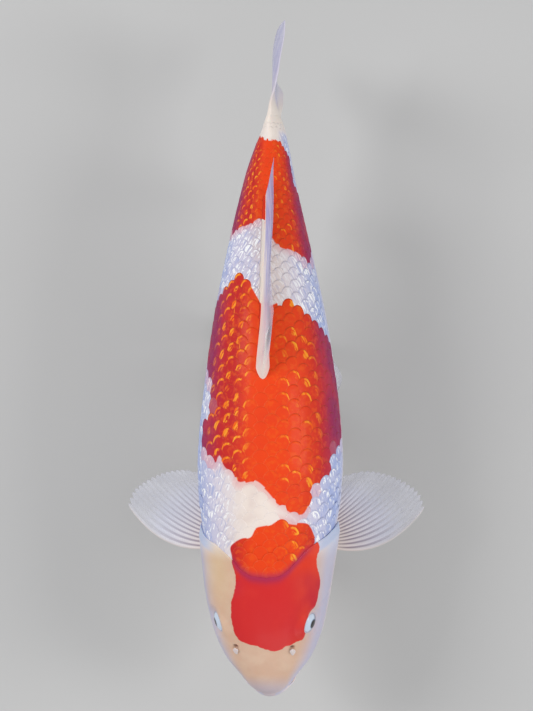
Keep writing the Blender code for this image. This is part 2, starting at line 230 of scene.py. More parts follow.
CAP = [
    (-28, 144), (-18, 151), (-9, 153), (-4, 161), (8, 164), (16, 168), (30, 165), (46, 163),
    (54, 153), (59, 142), (55, 130), (57, 122), (60, 110), (58, 101), (55, 92), (50, 84), (43, 78),
    (40, 70), (39, 62), (36, 57), (28, 54), (20, 51), (10, 46), (0, 49), (-12, 53), (-21, 56),
    (-26, 63), (-28, 76), (-28, 90), (-24, 103), (-22, 113), (-25, 126), (-27, 136),
]
SADDLE = [
    (-96, 345), (-104, 328), (-94, 306), (-74, 294), (-62, 287), (-53, 273), (-62, 262),
    (-75, 250), (-76, 232), (-62, 223), (-49, 215), (-42, 225), (-34, 215), (-24, 209),
    (-20, 201), (-5, 203), (6, 195), (15, 185), (24, 179), (38, 172), (46, 180), (54, 197),
    (61, 209), (74, 212), (67, 220), (80, 229), (102, 232), (122, 244), (127, 272), (118, 302),
    (96, 324), (78, 331), (62, 341), (46, 352), (34, 362), (24, 362), (10, 357), (3, 354),
    (-2, 360), (-7, 368), (-13, 377), (-20, 383), (-31, 382), (-50, 374), (-74, 363),
]
BAND = [
    (-40, 494), (-24, 508), (-13, 511), (-2, 508), (9, 507), (22, 500), (32, 492), (40, 480),
    (42, 468), (58, 456), (70, 430), (73, 406), (61, 396), (46, 400), (30, 406), (16, 410),
    (8, 419), (0, 434), (-10, 431), (-26, 427), (-42, 423), (-58, 422), (-68, 434), (-60, 458),
]
MAP_DISTANCES = np.arange(-236.0, 237.0, 1.5)
MAP_STATIONS = np.arange(0.0, 541.0, 1.5)


def patch_map():
    """How far each place of the unrolled skin is inside the nearest red patch."""
    x, y = np.meshgrid(MAP_DISTANCES, MAP_STATIONS, indexing="ij")
    best = np.full(x.shape, -1e9)
    for outline in (CAP, SADDLE, BAND):
        line = spline(outline, np.linspace(0, 1, 5 * len(outline) + 1), closed=True)
        nearest = np.full(x.shape, 1e9)
        inside = np.zeros(x.shape, dtype=bool)
        for (x0, y0), (x1, y1) in zip(line, line[1:]):
            dx, dy = x1 - x0, y1 - y0
            t = np.clip(((x - x0) * dx + (y - y0) * dy) / (dx * dx + dy * dy + 1e-9), 0, 1)
            nearest = np.minimum(nearest, (x - x0 - t * dx) ** 2 + (y - y0 - t * dy) ** 2)
            if dy != 0:
                inside ^= ((y0 > y) != (y1 > y)) & (x < x0 + (y - y0) * dx / dy)
        best = np.maximum(best, np.where(inside, 1, -1) * np.sqrt(nearest))
    return best


PATCHES = patch_map()


def redness(station, share):
    """Millimetres inside a red patch, or outside as a negative number."""
    distance = ((share + 1) % 2 - 1) * half_girth(station)
    return lookup(PATCHES, MAP_DISTANCES, MAP_STATIONS, distance, station)


# ---- the border between the head and the trunk ----

border_profile = profile(  # by the turn in degrees
    (0, 115), (9, 116.5), (17, 121), (26, 130), (34, 137), (45, 143.5), (55, 148.5), (63, 151.5),
    (72, 155), (85, 158.5), (97, 159.5), (112, 157), (124, 150), (134, 140), (143, 127),
    (152, 115), (165, 106), (180, 103),
)
MEAN_BORDER = 132.0


def border(share):
    """The station where the head's skin ends. Its middle lies a little to the left."""
    turn = np.degrees(turn_at(np.full_like(share, MEAN_BORDER), share))
    shifted = turn - 4.0 * (1 - smooth(20, 60, np.abs(turn)))
    return border_profile(np.abs(shifted))


def cover_mask(share):
    """1 over the gill covers, 0 on the nape and the throat."""
    turn = np.abs(np.degrees(turn_at(np.full_like(share, MEAN_BORDER), share)))
    return smooth(40, 60, turn) * (1 - smooth(136, 152, turn))


# ---- meshes from arrays ----


def grid_faces(rows, columns, closed=False, start=0, flip=False):
    """Quads between the points of a grid, which run row by row."""
    across = columns if closed else columns - 1
    i, j = np.meshgrid(np.arange(rows - 1), np.arange(across), indexing="ij")
    k = (j + 1) % columns
    corners = [i * columns + j, i * columns + k, (i + 1) * columns + k, (i + 1) * columns + j]
    quads = np.stack(corners, axis=-1).reshape(-1, 4) + start
    return quads[:, ::-1] if flip else quads


def end_faces(columns, tip, start=0, flip=False):
    """Triangles from a closed ring of points to the point that closes it."""
    j = start + np.arange(columns)
    k = np.roll(j, -1)
    ring = [k, j] if flip else [j, k]
    return np.stack([*ring, np.full(columns, tip)], axis=-1)


def rim_loop(rows, columns):
    """The outer points of a grid in order."""
    top = np.arange(columns)
    right = np.arange(1, rows) * columns + columns - 1
    bottom = (rows - 1) * columns + np.arange(columns - 2, -1, -1)
    left = np.arange(rows - 2, 0, -1) * columns
    return np.concatenate([top, right, bottom, left])


def slab_faces(rows, columns):
    """Faces of a closed plate: a grid, its twin right after it, and the rim between them."""
    count = rows * columns
    loop = rim_loop(rows, columns)
    after = np.roll(loop, -1)
    rim = np.stack([loop, loop + count, after + count, after], axis=-1)
    near = grid_faces(rows, columns)
    far = grid_faces(rows, columns, start=count, flip=True)
    return np.concatenate([near, far, rim])


def facing_out(points, faces):
    """The faces of a closed shape, turned over if they face inwards."""
    volume = 0.0
    for some in faces:
        for k in range(2, some.shape[1]):
            a, b, c = points[some[:, 0]], points[some[:, k - 1]], points[some[:, k]]
            volume += np.sum(a * np.cross(b, c))
    return faces if volume > 0 else [some[:, ::-1] for some in faces]


def make_piece(name, points, faces, material, values=None, uv=None, rims=None, replaces=()):
    """An object from points in metres and arrays of faces, with a number per point for each value.
    Shading is smooth, apart from the faces that rims is true for."""
    mesh = bpy.data.meshes.new(name)
    mesh.vertices.add(len(points))
    mesh.vertices.foreach_set("co", np.asarray(points, dtype=np.float32).ravel())
    corners = np.concatenate([np.asarray(some).ravel() for some in faces])
    counts = np.concatenate([np.full(len(some), some.shape[1]) for some in faces])
    mesh.loops.add(len(corners))
    mesh.loops.foreach_set("vertex_index", corners.astype(np.int32))
    mesh.polygons.add(len(counts))
    starts = np.concatenate([[0], np.cumsum(counts)[:-1]])
    mesh.polygons.foreach_set("loop_start", starts.astype(np.int32))
    mesh.update(calc_edges=True)
    mesh.shade_smooth()
    if rims is not None:
        mesh.polygons.foreach_set("use_smooth", ~rims)
    for key, numbers in (values or {}).items():
        layer = mesh.attributes.new(key, "FLOAT", "POINT")
        layer.data.foreach_set("value", np.asarray(numbers, dtype=np.float32).ravel())
    if uv is not None:
        layer = mesh.uv_layers.new(name="OFBake")
        layer.data.foreach_set("uv", np.asarray(uv, dtype=np.float32)[corners].ravel())
    mesh.materials.append(material)
    piece = bpy.data.objects.new(name, mesh)
    bpy.context.scene.collection.objects.link(piece)
    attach(piece, "root")
    if replaces:
        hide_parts(*replaces)


class Parts:
    """Shapes that are joined in one mesh: their points, faces and values."""

    def __init__(self):
        self.points, self.faces, self.values, self.count = [], [], {}, 0

    def add(self, points, faces, closed=True, **values):
        points = np.asarray(points).reshape(-1, 3)
        for some in facing_out(points, faces) if closed else faces:
            self.faces.append(some + self.count)
        for key in set(self.values) | set(values):
            known = self.values.setdefault(key, [np.zeros(self.count)])
            known.append(np.broadcast_to(values.get(key, 0.0), (len(points),)))
        self.points.append(points)
        self.count += len(points)

    def joined(self):
        return np.concatenate(self.points), {k: np.concatenate(v) for k, v in self.values.items()}


TUBE_SIDES = 14


def tube(line, radius):
    """Points and faces of a round tube along a line of points, closed at both ends."""
    tangent = np.gradient(line, axis=0)
    tangent /= np.linalg.norm(tangent, axis=1, keepdims=True)
    across = np.cross(tangent, (0.2, 1.0, 0.1))
    across /= np.linalg.norm(across, axis=1, keepdims=True)
    up = np.cross(across, tangent)
    turn = np.linspace(0, 2 * math.pi, TUBE_SIDES, endpoint=False)[None, :, None]
    rings = line[:, None] + (across[:, None] * np.cos(turn) + up[:, None] * np.sin(turn)) * radius
    points = np.concatenate([rings.reshape(-1, 3), line[:1], line[-1:]])
    faces = [
        grid_faces(len(line), TUBE_SIDES, closed=True, flip=True),
        end_faces(TUBE_SIDES, len(points) - 2),
        end_faces(TUBE_SIDES, len(points) - 1, start=(len(line) - 1) * TUBE_SIDES, flip=True),
    ]
    return points, faces


# ---- materials ----


def srgb(red, green, blue):
    """A colour as a shader takes it, from the 0 to 255 numbers that a picture would hold."""
    linear = [c / 12.92 if c <= 0.04045 else ((c + 0.055) / 1.055) ** 2.4
              for c in (red / 255, green / 255, blue / 255)]
    return (*linear, 1.0)


CREAM = srgb(238, 226, 216)  # bare skin on the stalk, and the roots of the fins
FOLD_SHADE_PLUM = srgb(154, 42, 92)  # red skin in a fold, darkened by painted shade


class Shader:
    """A material with a Principled shader, and short ways to add the nodes before it."""

    def __init__(self, name):
        self.material = bpy.data.materials.new(name)
        self.material.use_nodes = True
        self.tree = self.material.node_tree
        self.main = self.tree.nodes["Principled BSDF"]
        self.place = self.add("ShaderNodeTexCoord").outputs["Object"]

    def add(self, kind, inputs=(), **settings):
        node = self.tree.nodes.new(kind)
        for key, value in settings.items():
            setattr(node, key, value)
        for key, value in dict(inputs).items():
            self.feed(node.inputs[key], value)
        return node

    def feed(self, socket, value):
        if isinstance(value, bpy.types.NodeSocket):
            self.tree.links.new(value, socket)
        else:
            socket.default_value = value

    def value(self, name):
        """The numbers that a mesh holds under a name."""
        return self.add("ShaderNodeAttribute", attribute_name=name).outputs["Fac"]

    def math(self, operation, a, b=0.0, c=0.0):
        return self.add("ShaderNodeMath", {0: a, 1: b, 2: c}, operation=operation).outputs[0]

    def most(self, a, b):
        return self.math("MAXIMUM", a, b)

    def rest(self, a):
        """What is left of 1."""
        return self.math("SUBTRACT", 1.0, a)

    def times(self, *factors):
        product = factors[0]
        for factor in factors[1:]:
            product = self.math("MULTIPLY", product, factor)
        return product

    def ramp(self, value, low, high, start=0.0, end=1.0):
        """A smooth step from start at low to end at high."""
        inputs = {"Value": value, "From Min": low, "From Max": high, "To Min": start, "To Max": end}
        node = self.add("ShaderNodeMapRange", inputs, interpolation_type="SMOOTHSTEP")
        return node.outputs["Result"]

    def band(self, value, out, full, still_full, out_again):
        """A smooth rise from out to full and a fall from still_full to out_again."""
        return self.times(self.ramp(value, out, full), self.ramp(value, out_again, still_full))

    def mix(self, factor, a, b):
        node = self.add("ShaderNodeMix", data_type="RGBA")
        self.feed(node.inputs["Factor"], factor)
        self.feed(node.inputs[6], a)
        self.feed(node.inputs[7], b)
        return node.outputs[2]

    def layers(self, colour, *coats):
        """A colour with others over it, each as (how much, colour)."""
        for factor, coat in coats:
            colour = self.mix(factor, colour, coat)
        return colour

    def noise(self, scale, detail=2.0, place=None):
        inputs = {"Vector": place or self.place, "Scale": scale, "Detail": detail}
        return self.add("ShaderNodeTexNoise", inputs).outputs["Fac"]

    def vector(self, x, y, z=0.0):
        return self.add("ShaderNodeCombineXYZ", {0: x, 1: y, 2: z}).outputs[0]

    def stretched(self, *scale):
        return self.add("ShaderNodeMapping", {"Vector": self.place, "Scale": scale}).outputs[0]

    def bump(self, height, strength, distance, before=None):
        inputs = {"Height": height, "Strength": strength, "Distance": distance}
        node = self.add("ShaderNodeBump", inputs)
        if before is not None:
            self.feed(node.inputs["Normal"], before)
        return node.outputs["Normal"]

    def finish(self, **inputs):
        for key, value in inputs.items():
            self.feed(self.main.inputs[key.replace("_", " ")], value)
        return self.material


# ---- the skin: one mesh from the lips to the root of the tail fin ----

HEAD_STEP = 0.62
SKIN_COLUMNS = 280
FOLD_ROWS = (
    # offset where the skin is unbroken, offset where it is a flap, share of the cover's lift,
    # drop through the flap's edge, share of the coat's depth
    (-1.2, -1.2, 1.0, 0.0, 0.0), (-0.8, -0.5, 1.0, 0.05, 0.0), (-0.4, -0.12, 1.0, 0.35, 0.0),
    (0.0, 0.03, 1.0, 0.7, 0.0), (0.4, -0.12, 1.0, 1.05, 0.1), (0.8, -0.6, 1.0, 1.3, 0.3),
    (1.2, -2.5, 0.5, 0.9, 0.8), (1.6, -3.5, 0.0, 0.0, 1.0), (2.0, -2.5, 0.0, 0.0, 1.0),
    (2.6, -0.5, 0.0, 0.0, 1.0), (3.4, 1.5, 0.0, 0.0, 1.0),
)


def side_line(*knots):
    """A curve on the left flank through (station, turn in degrees) knots."""
    place = spline(knots, np.linspace(0, 1, 8 * len(knots)))
    return surface(place[:, 0], np.radians(place[:, 1]))


def off_line(points, line):
    """Each point's distance from a line, and how far along it the nearest place is, 0 to 1."""
    nearest = np.full(len(points), 1e9)
    along = np.zeros(len(points))
    last = len(line) - 1
    for k in range(last):
        step = line[k + 1] - line[k]
        t = np.clip((points - line[k]) @ step / (step @ step + 1e-9), 0, 1)
        gap = np.linalg.norm(points - line[k] - t[:, None] * step, axis=1)
        closer = gap < nearest
        nearest[closer] = gap[closer]
        along[closer] = (k + t[closer]) / last
    return nearest, along


def dent(distance, width, depth):
    """A groove with soft sides."""
    return -depth * np.exp(-((distance / width) ** 2))


def nostril_place():
    """The middle of the left nostril."""
    return surface(NOSTRIL[0], turn_at(NOSTRIL[0], NOSTRIL[1] / half_girth(NOSTRIL[0])))


def head_relief(station, turn):
    """The lips, nostrils, cheek lines and throat folds, as a lift of the skin."""
    points = surface(station, turn)
    points[:, 0] = np.abs(points[:, 0])
    degrees = np.abs(np.degrees(turn))
    lift = np.zeros(len(points))

    mouth, along = off_line(points, side_line((0.02, 118), (2, 118), (6, 118), (11, 117), (15, 115)))
    lip = 1 - smooth(0.72, 1.0, along) * 0.75
    fade = np.exp(-((np.maximum(station - 13, 0) / 4.0) ** 2))
    above = degrees < 118
    fold = np.where(above, 2.3, 2.0) * np.exp(-(((mouth - 3.2) / 2.3) ** 2))
    lift += (fold * lip + dent(mouth, 0.75, 1.7) + dent(mouth - 7.0, 1.5, 0.45)) * fade
    corner, _ = off_line(points, side_line((14, 115), (18, 111), (23, 112)))
    lift += dent(corner, 1.3, 0.7)

    to_nostril = np.linalg.norm(points - nostril_place(), axis=1)
    lift += dent(to_nostril, 1.9, 2.4) + 0.3 * np.exp(-(((to_nostril - 3.4) / 1.3) ** 2))

    for knots, width, depth in (
        (((90, 62), (98, 84), (101, 104), (94, 124), (80, 138), (66, 146)), 1.3, 0.75),
        (((58, 62), (62, 84), (72, 98), (84, 104), (97, 102)), 1.2, 0.35),
        (((24, 70), (34, 82), (46, 88), (58, 92)), 1.6, 0.35),
        (((152, 112), (138, 120), (122, 128), (104, 134)), 0.8, 0.5),
        (((20, 128), (38, 136), (58, 146), (80, 152), (98, 156)), 1.5, 0.8),
        (((62, 163), (80, 162), (100, 160), (118, 158)), 1.1, 0.6),
        (((70, 172), (86, 170), (104, 168)), 0.9, 0.5),
    ):
        distance, along = off_line(points, side_line(*knots))
        ends = smooth(0, 0.12, along) * (1 - smooth(0.88, 1.0, along))
        lift += dent(distance, width, depth) * ends

    radial = np.cos(18 * np.arctan2(degrees - 78, station - 96)) * smooth(104, 122, station)
    lift += 0.07 * radial * smooth(60, 78, degrees) * (1 - smooth(112, 124, degrees))
    return lift


def eye_frame(side):
    """The centre of an eyeball, the way it looks, and the directions along and up its opening."""
    mirror = np.array((side, 1, 1))
    axis = EYE_AXIS * mirror
    along = np.cross(axis, (0.0, 0.0, 1.0))
    along /= np.linalg.norm(along)
    return EYE_CENTRE * mirror, axis, along, np.cross(along, axis)


def rim_height(along, up):
    """How far out of the ball's centre the rim of the opening is, in a direction across the axis."""
    reach = EYE_OPENING * np.hypot(along, up) / np.maximum(np.hypot(along, up / EYE_SQUASH), 1e-9)
    return np.sqrt(EYE_BALL**2 - reach**2)


def seat_eyes(points):
    """Moves the skin round each eye onto the rim of its opening, and inwards behind the eye."""
    for side in (1, -1):
        centre, axis, along, up = eye_frame(side)
        offset = points - centre
        a, b = offset @ along, offset @ up
        axial = offset @ axis - rim_height(a, b)
        radius = np.hypot(a, b / EYE_SQUASH)
        rim = 0.35 * np.exp(-(((radius - 10.0) / 0.9) ** 2)) - 0.3 * smooth(10.6, 15.0, radius)
        seat = np.where(radius < 10.0, 0.35 - 5.0 * (1 - smooth(7.8, 9.7, radius)), rim)
        weight = (1 - smooth(10.2, 18.0, radius)) * (np.abs(axial) < 22) * (points[:, 0] * side > 0)
        move = seat - axial
        move = np.where(radius > 10.0, np.clip(move, -2.4, 2.4), move)
        points = points + axis * (move * weight)[:, None]
    return points


def coat_fade(station):
    """1 along the body and 0 at the root of the tail fin, where the coat has run out."""
    return 1 - smooth(508, 524, station)


def coat_floor(station, share):
    """The lift of the skin that the scales lie on. It is raised behind the gill covers and the
    nape, and comes up to the surface at the tail."""
    turn = np.abs(np.degrees(turn_at(station, share)))
    behind = station - border(share)
    throat = smooth(140, 155, turn)
    start = lerp(np.where(behind > 0, 1.0, 0.0), smooth(-2, 20, behind), throat)
    raised = 1.5 * cover_mask(share) * (1 - smooth(2, 36, behind))
    raised = raised + 1.25 * (1 - smooth(30, 52, turn)) * (1 - smooth(3, 28, behind))
    return (raised - COAT_DEPTH * start) * coat_fade(station)


def skin_grid():
    """Stations, shares and lifts of the skin, row by row from the snout, with the border and the
    cover mask of every column."""
    share = -1 + 2 * np.arange(SKIN_COLUMNS) / SKIN_COLUMNS
    edge = border(share)
    flap = cover_mask(share)
    turn = np.abs(np.degrees(turn_at(np.full_like(share, MEAN_BORDER), share)))
    throat = smooth(140, 155, turn)
    fold = np.maximum(flap, 0.04 * (1 - smooth(30, 55, turn)))

    head_marks = np.concatenate([[0.05, 0.2, 0.45], np.arange(0.8, MEAN_BORDER - 1.4, HEAD_STEP)])
    trunk_marks = np.concatenate([
        np.arange(MEAN_BORDER + 4.2, HEAD_END, 2.0), np.arange(HEAD_END, 498, 4.5),
        np.arange(498, FLESH_LENGTH + 4, 1.6)])
    rows = []
    for mark in head_marks:
        weight = smooth(45, 125, mark)
        rows.append((mark + weight * (edge - MEAN_BORDER), 1.0, 0.0, 0.0))
    for flat, tucked, rise, drop, deep in FOLD_ROWS:
        rows.append((edge + lerp(flat, tucked, fold), rise, drop * fold, deep))
    for mark in trunk_marks:
        weight = 1 - smooth(140, 235, mark)
        rows.append((mark + weight * (edge - MEAN_BORDER), 0.0, 0.0, 1.0))

    stations, lifts = [], []
    for station, rise, drop, deep in rows:
        soft = smooth(-2, 20, station - edge)
        depth = COAT_DEPTH * lerp(deep, soft, throat) * coat_fade(station)
        swell = cover_swell(station) * flap * (1 - 0.42 * smooth(10, 0.5, edge - station))
        nape = 0.3 * np.exp(-(((edge - station) / 7.0) ** 2)) * (1 - smooth(30, 50, turn))
        into_fin = 3.0 * smooth(FLESH_LENGTH - 2.5, FLESH_LENGTH + FIN_SOCKET, station)
        lifts.append(rise * (swell + nape) - drop - depth - into_fin - 0.15)
        stations.append(station)
    stations = np.array(stations)
    return stations, np.broadcast_to(share, stations.shape), np.array(lifts), edge, flap


def crease(station, share):
    """1 along the soft fold of skin behind the nape, where painted shade darkens the red."""
    turn = np.degrees(turn_at(station, share))
    return np.exp(-(((border(share) - station) / 4.4) ** 2)) * (1 - smooth(34, 52, np.abs(turn)))


def skin_values(station, share, edge, flap):
    """What the skin's material needs to know about each point."""
    ahead = edge - station
    points = surface(station, turn_at(station, share))
    points[:, 0] = np.abs(points[:, 0])
    return {
        "red": redness(station, share),
        # where the painted shade in the nostril's pit goes
        "nostril": np.exp(-((np.linalg.norm(points - nostril_place(), axis=1) / 1.9) ** 2)),
        "side": np.abs(share),
        "turned": share,
        "station": station,
        "membrane": flap * smooth(10.5, 6.5, ahead) * (ahead > -6),
        "crease": crease(station, share),
    }


def skin_material():
    """Cream on top of the head with lavender on its sides from a painted blue reflection, pale on the body,
    and red patches.
    """
    shade = Shader("koi_skin")
    side, station, turned = (shade.value(name) for name in ("side", "station", "turned"))
    mottle = shade.noise(60.0, 4.0)
    soft = shade.noise(22.0, 2.0)
    flank = shade.ramp(shade.math("MULTIPLY_ADD", soft, 0.05, side), 0.24, 0.42, 0.0, 0.9)
    snout = shade.ramp(station, 24.0, 4.0, 0.0, 0.62)
    gold = shade.times(
        shade.band(side, 0.10, 0.22, 0.24, 0.38), shade.ramp(station, 70.0, 122.0),
        shade.ramp(turned, 0.0, -0.1, 0.1, 0.4))
    head = shade.layers(
        srgb(212, 172, 146),
        (soft, srgb(222, 188, 164)),
        (shade.ramp(mottle, 0.4, 0.75, 0.0, 0.4), srgb(230, 204, 180)),
        # painted blue reflection: lavender down the head's sides and round the snout
        (shade.most(flank, snout), shade.mix(soft, srgb(172, 175, 206), srgb(198, 196, 213))),
        (shade.ramp(side, 0.44, 0.62), srgb(228, 214, 212)),
        (gold, srgb(220, 196, 150)),
        # painted shade: dark brown in the nostril's pit
        (shade.times(shade.value("nostril"), 0.85), srgb(112, 52, 48)))

    bright = shade.times(shade.ramp(turned, 0.08, 0.26), shade.ramp(soft, 0.3, 0.6), 0.9)
    # painted shade with a painted blue reflection: purple in patches over the left of the head's red
    left_purple_shade = shade.times(
        shade.ramp(station, 92.0, 116.0), shade.ramp(turned, -0.05, -0.17),
        shade.ramp(mottle, 0.42, 0.62), 0.55)
    crimson = shade.layers(
        srgb(214, 42, 42),
        # partly the red's own tone, partly painted shade: darker crimson down the sides
        (shade.ramp(side, 0.08, 0.42), srgb(184, 34, 56)),
        (shade.ramp(station, 112.0, 128.0, 0.0, 0.9), srgb(228, 56, 24)),
        (bright, srgb(228, 68, 42)),
        (left_purple_shade, srgb(172, 46, 92)),
        (shade.ramp(mottle, 0.5, 0.8, 0.0, 0.3), srgb(222, 58, 48)))

    # painted blue reflection down the body's sides, fading out at the stalk's end
    painted_blue_reflection = shade.times(shade.ramp(side, 0.2, 0.45), shade.ramp(station, 512.0, 498.0))
    uneven = shade.math("MULTIPLY_ADD", shade.noise(150.0, 4.0), 3.6, -1.8)
    inside = shade.ramp(shade.math("ADD", shade.value("red"), uneven), -0.45, 0.45)
    skin = shade.layers(
        head,
        (shade.ramp(station, 128.0, 150.0), shade.mix(painted_blue_reflection, CREAM, srgb(200, 206, 226))),
        (shade.times(shade.value("membrane"), 0.85), srgb(184, 196, 224)),
        (inside, crimson),
        # painted shade in the fold behind the nape
        (shade.times(shade.value("crease"), inside, 0.66), FOLD_SHADE_PLUM))
    normal = shade.bump(
        shade.noise(900.0, 3.0), 0.12, 0.0004, shade.bump(shade.noise(240.0, 3.0), 0.14, 0.001))
    return shade.finish(
        Base_Color=skin, Roughness=shade.ramp(mottle, 0.3, 0.7, 0.44, 0.56), Normal=normal,
        Specular_IOR_Level=0.2, Coat_Weight=0.07, Coat_Roughness=0.12, Subsurface_Weight=0.10,
        Subsurface_Scale=0.004, Subsurface_Radius=(1.0, 0.45, 0.3))


def make_skin():
    stations, shares, lifts, edge, flap = skin_grid()
    rows, columns = stations.shape
    station, share, lift = stations.ravel(), shares.ravel(), lifts.ravel()
    turn = turn_at(station, share)
    near = station < HEAD_END
    lift[near] += head_relief(station[near], turn[near]) * (lift[near] > -0.8)
    points = surface(station, turn) + outward(station, turn) * lift[:, None]
    points[near] = seat_eyes(points[near])
    ends = np.array([(0.0, -0.15, -12.0), (0.0, FLESH_LENGTH + FIN_SOCKET, 2.0)])
    parts = Parts()
    values = skin_values(station, share, np.tile(edge, rows), np.tile(flap, rows))
    parts.add(points, [grid_faces(rows, columns, closed=True)], closed=False, **values)
    tip, tail = parts.count, parts.count + 1
    parts.add(ends, [], station=ends[:, 1], red=NOT_RED)
    parts.faces.append(end_faces(columns, tip, flip=True))
    parts.faces.append(end_faces(columns, tail, start=(rows - 1) * columns))
    for side in (1, -1):
        add_head_trim(parts, side)
    points, values = parts.joined()
    replaced = ["head", "lower_jaw", "lip_upper", "lip_lower", "trunk_front", "trunk_rear", "tail_stalk"]
    for word in ("left", "right"):
        replaced += ["gill_cover_" + word, "barbel_front_" + word, "barbel_rear_" + word]
    make_piece(
        "koi_skin", in_world(points), parts.faces, skin_material(), values, replaces=replaced)


def add_head_trim(parts, side):
    """The soft rim of an eye, the flap of a nostril and the two barbels of one side."""
    steps, sides = 72, 12
    centre, axis, along, up = eye_frame(side)
    turn = np.linspace(0, 2 * math.pi, steps + 1)[:-1, None]
    tube_turn = np.linspace(0, 2 * math.pi, sides + 1)[None, :-1]
    reach = EYE_OPENING + 0.30 + 0.66 * np.cos(tube_turn)
    a, b = np.cos(turn) * reach, np.sin(turn) * reach * EYE_SQUASH
    rise = rim_height(np.cos(turn), np.sin(turn) * EYE_SQUASH) + 0.1 + 0.45 * np.sin(tube_turn)
    ring = centre + along * a[..., None] + up * b[..., None] + axis * rise[..., None]
    quads = grid_faces(steps + 1, sides, closed=True) % (steps * sides)
    parts.add(ring, [quads], red=NOT_RED, side=0.34, turned=0.34 * side, station=70.0)

    u, v = np.meshgrid(np.linspace(-1, 1, 15), np.linspace(0, 1, 14))
    place = NOSTRIL[1] + 3.5 * u * (0.12 + 0.88 * v) ** 0.8 * np.sqrt(np.clip(1 - 0.75 * v**6, 0, 1))
    station = NOSTRIL[0] - 7.6 + 7.4 * v - 1.3 * u * u * v
    turn = side * turn_at(station, place / half_girth(station))
    lift = -0.1 + 1.9 * np.sin(0.5 * math.pi * v) * (1 - 0.3 * u * u)
    base, normal = surface(station, turn), outward(station, turn)
    near = base + normal * (lift + 0.35)[..., None]
    far = base + normal * (lift - 0.35)[..., None]
    both = np.concatenate([near.reshape(-1, 3), far.reshape(-1, 3)])
    parts.add(both, [slab_faces(14, 15)], red=NOT_RED, side=0.6, turned=0.6 * side, station=60.0)

    rear = [(20.5, 18.2, -13), (24, 19.2, -16.5), (26.5, 20.3, -20), (26.4, 23, -27), (25.7, 27, -35),
            (23.5, 31, -42)]
    front = [(15.5, 9.4, -8.5), (19.6, 9.8, -10), (21.6, 11.4, -12.3), (23.2, 13.8, -14.8),
             (24.0, 16.4, -17.2)]
    for knots, radius in ((rear, 1.75), (front, 1.15)):
        t = np.linspace(0, 1, 40)
        line = spline(knots, t) * (side, 1, 1)
        size = radius * (1 - 0.62 * t) * np.sqrt(np.clip(1 - t**14, 0.02, 1)) + 1.2 * np.exp(-t / 0.06)
        points, faces = tube(line, size[:, None, None])
        shade = np.concatenate([np.repeat(t, TUBE_SIDES), [0, 1]])
        parts.add(points, faces, red=NOT_RED, side=0.45 + 0.3 * shade, station=18.0)


# ---- the eyes ----


def eye_material():
    shade = Shader("koi_eye")
    reach, pupil = shade.value("reach"), shade.value("pupil")
    streaks = shade.noise(1.0, 3.0, shade.vector(shade.times(shade.value("spoke"), 16.0), reach))
    colour = shade.layers(
        srgb(180, 200, 224),
        (streaks, srgb(222, 230, 240)),
        # painted shade: the lower part of the eye darker, as if lit from above
        (shade.ramp(shade.value("low"), 0.0, 0.6), srgb(92, 100, 128)),
        (shade.ramp(pupil, 0.56, 0.43), srgb(90, 102, 134)),
        (shade.ramp(reach, 0.88, 0.99), srgb(112, 112, 128)),
        (shade.ramp(pupil, 0.43, 0.40), srgb(4, 5, 8)))
    return shade.finish(
        Base_Color=colour, Roughness=0.3, Specular_IOR_Level=0.25, Coat_Weight=0.5,
        Coat_Roughness=0.03, Coat_IOR=1.38)


def make_eye(side, material):
    """The front of an eyeball: a round cap, closed behind."""
    centre, axis, along, up = eye_frame(side)
    reach, turn = np.meshgrid(
        np.linspace(0.002, 1.12, 44), np.linspace(0, 2 * math.pi, 97)[:-1], indexing="ij")
    out = reach * EYE_OPENING
    to_pupil = np.hypot(reach * np.cos(turn), reach * np.sin(turn) + PUPIL_DROP)
    rise = np.sqrt(EYE_BALL**2 - out**2) - 0.25 * (1 - smooth(0.36, 0.45, to_pupil))
    front = centre + (
        along * (np.cos(turn) * out)[..., None] + up * (np.sin(turn) * out)[..., None]
        + axis * rise[..., None])
    points = np.concatenate([front.reshape(-1, 3), [centre + axis * (EYE_BALL - 0.25), centre]])
    rows, columns = reach.shape
    faces = [
        grid_faces(rows, columns, closed=True),
        end_faces(columns, len(points) - 2, flip=True),
        end_faces(columns, len(points) - 1, start=(rows - 1) * columns),
    ]
    values = {
        "reach": np.concatenate([reach.ravel(), [0, 1]]),
        "pupil": np.concatenate([to_pupil.ravel(), [PUPIL_DROP, 1]]),
        # how far down the eye a point lies, for its painted shade
        "low": np.concatenate([(-np.sin(turn) * reach).ravel(), [0, 0]]),
        "spoke": np.concatenate([np.cos(turn.ravel() * 2) + turn.ravel(), [0, 0]]),
    }
    word = "left" if side > 0 else "right"
    make_piece(
        "eyeball_" + word, in_world(points), facing_out(points, faces), material, values,
        replaces=["eye_" + word])


# ---- the scales: thin domed plates in rows along the body ----

SCALE_ACROSS = 13
SCALE_ALONG = 11
SCALE_LENGTH = 1.66  # in pitches: each scale reaches over the next ones
SCALE_THICKNESS = 0.24
UNDER_DORSAL = (289, 448)  # no scale of the ridge has its root between these stations
LAST_ROOTS = 512  # no scale has its root behind this station
PATCH = 0.003  # how much of the bake's map one scale takes
GROUPS = (("shoulder", 205), ("back", 300), ("rump", 395), ("stalk", 460), ("tail_root", 600))


def row_share(row):
    """Where a row lies, as a share of the half girth. Rows are wider on the flanks."""
    u = row / ROWS_A_SIDE
    return u - 0.19 / (2 * math.pi) * np.sin(2 * math.pi * u)


def column_stations():
    """Stations of every half column, from the nape to the root of the tail fin."""
    stations = [100.0]
    while stations[-1] < 520:
        stations.append(stations[-1] + float(scale_pitch(stations[-1])) / 2)
    return np.array(stations)


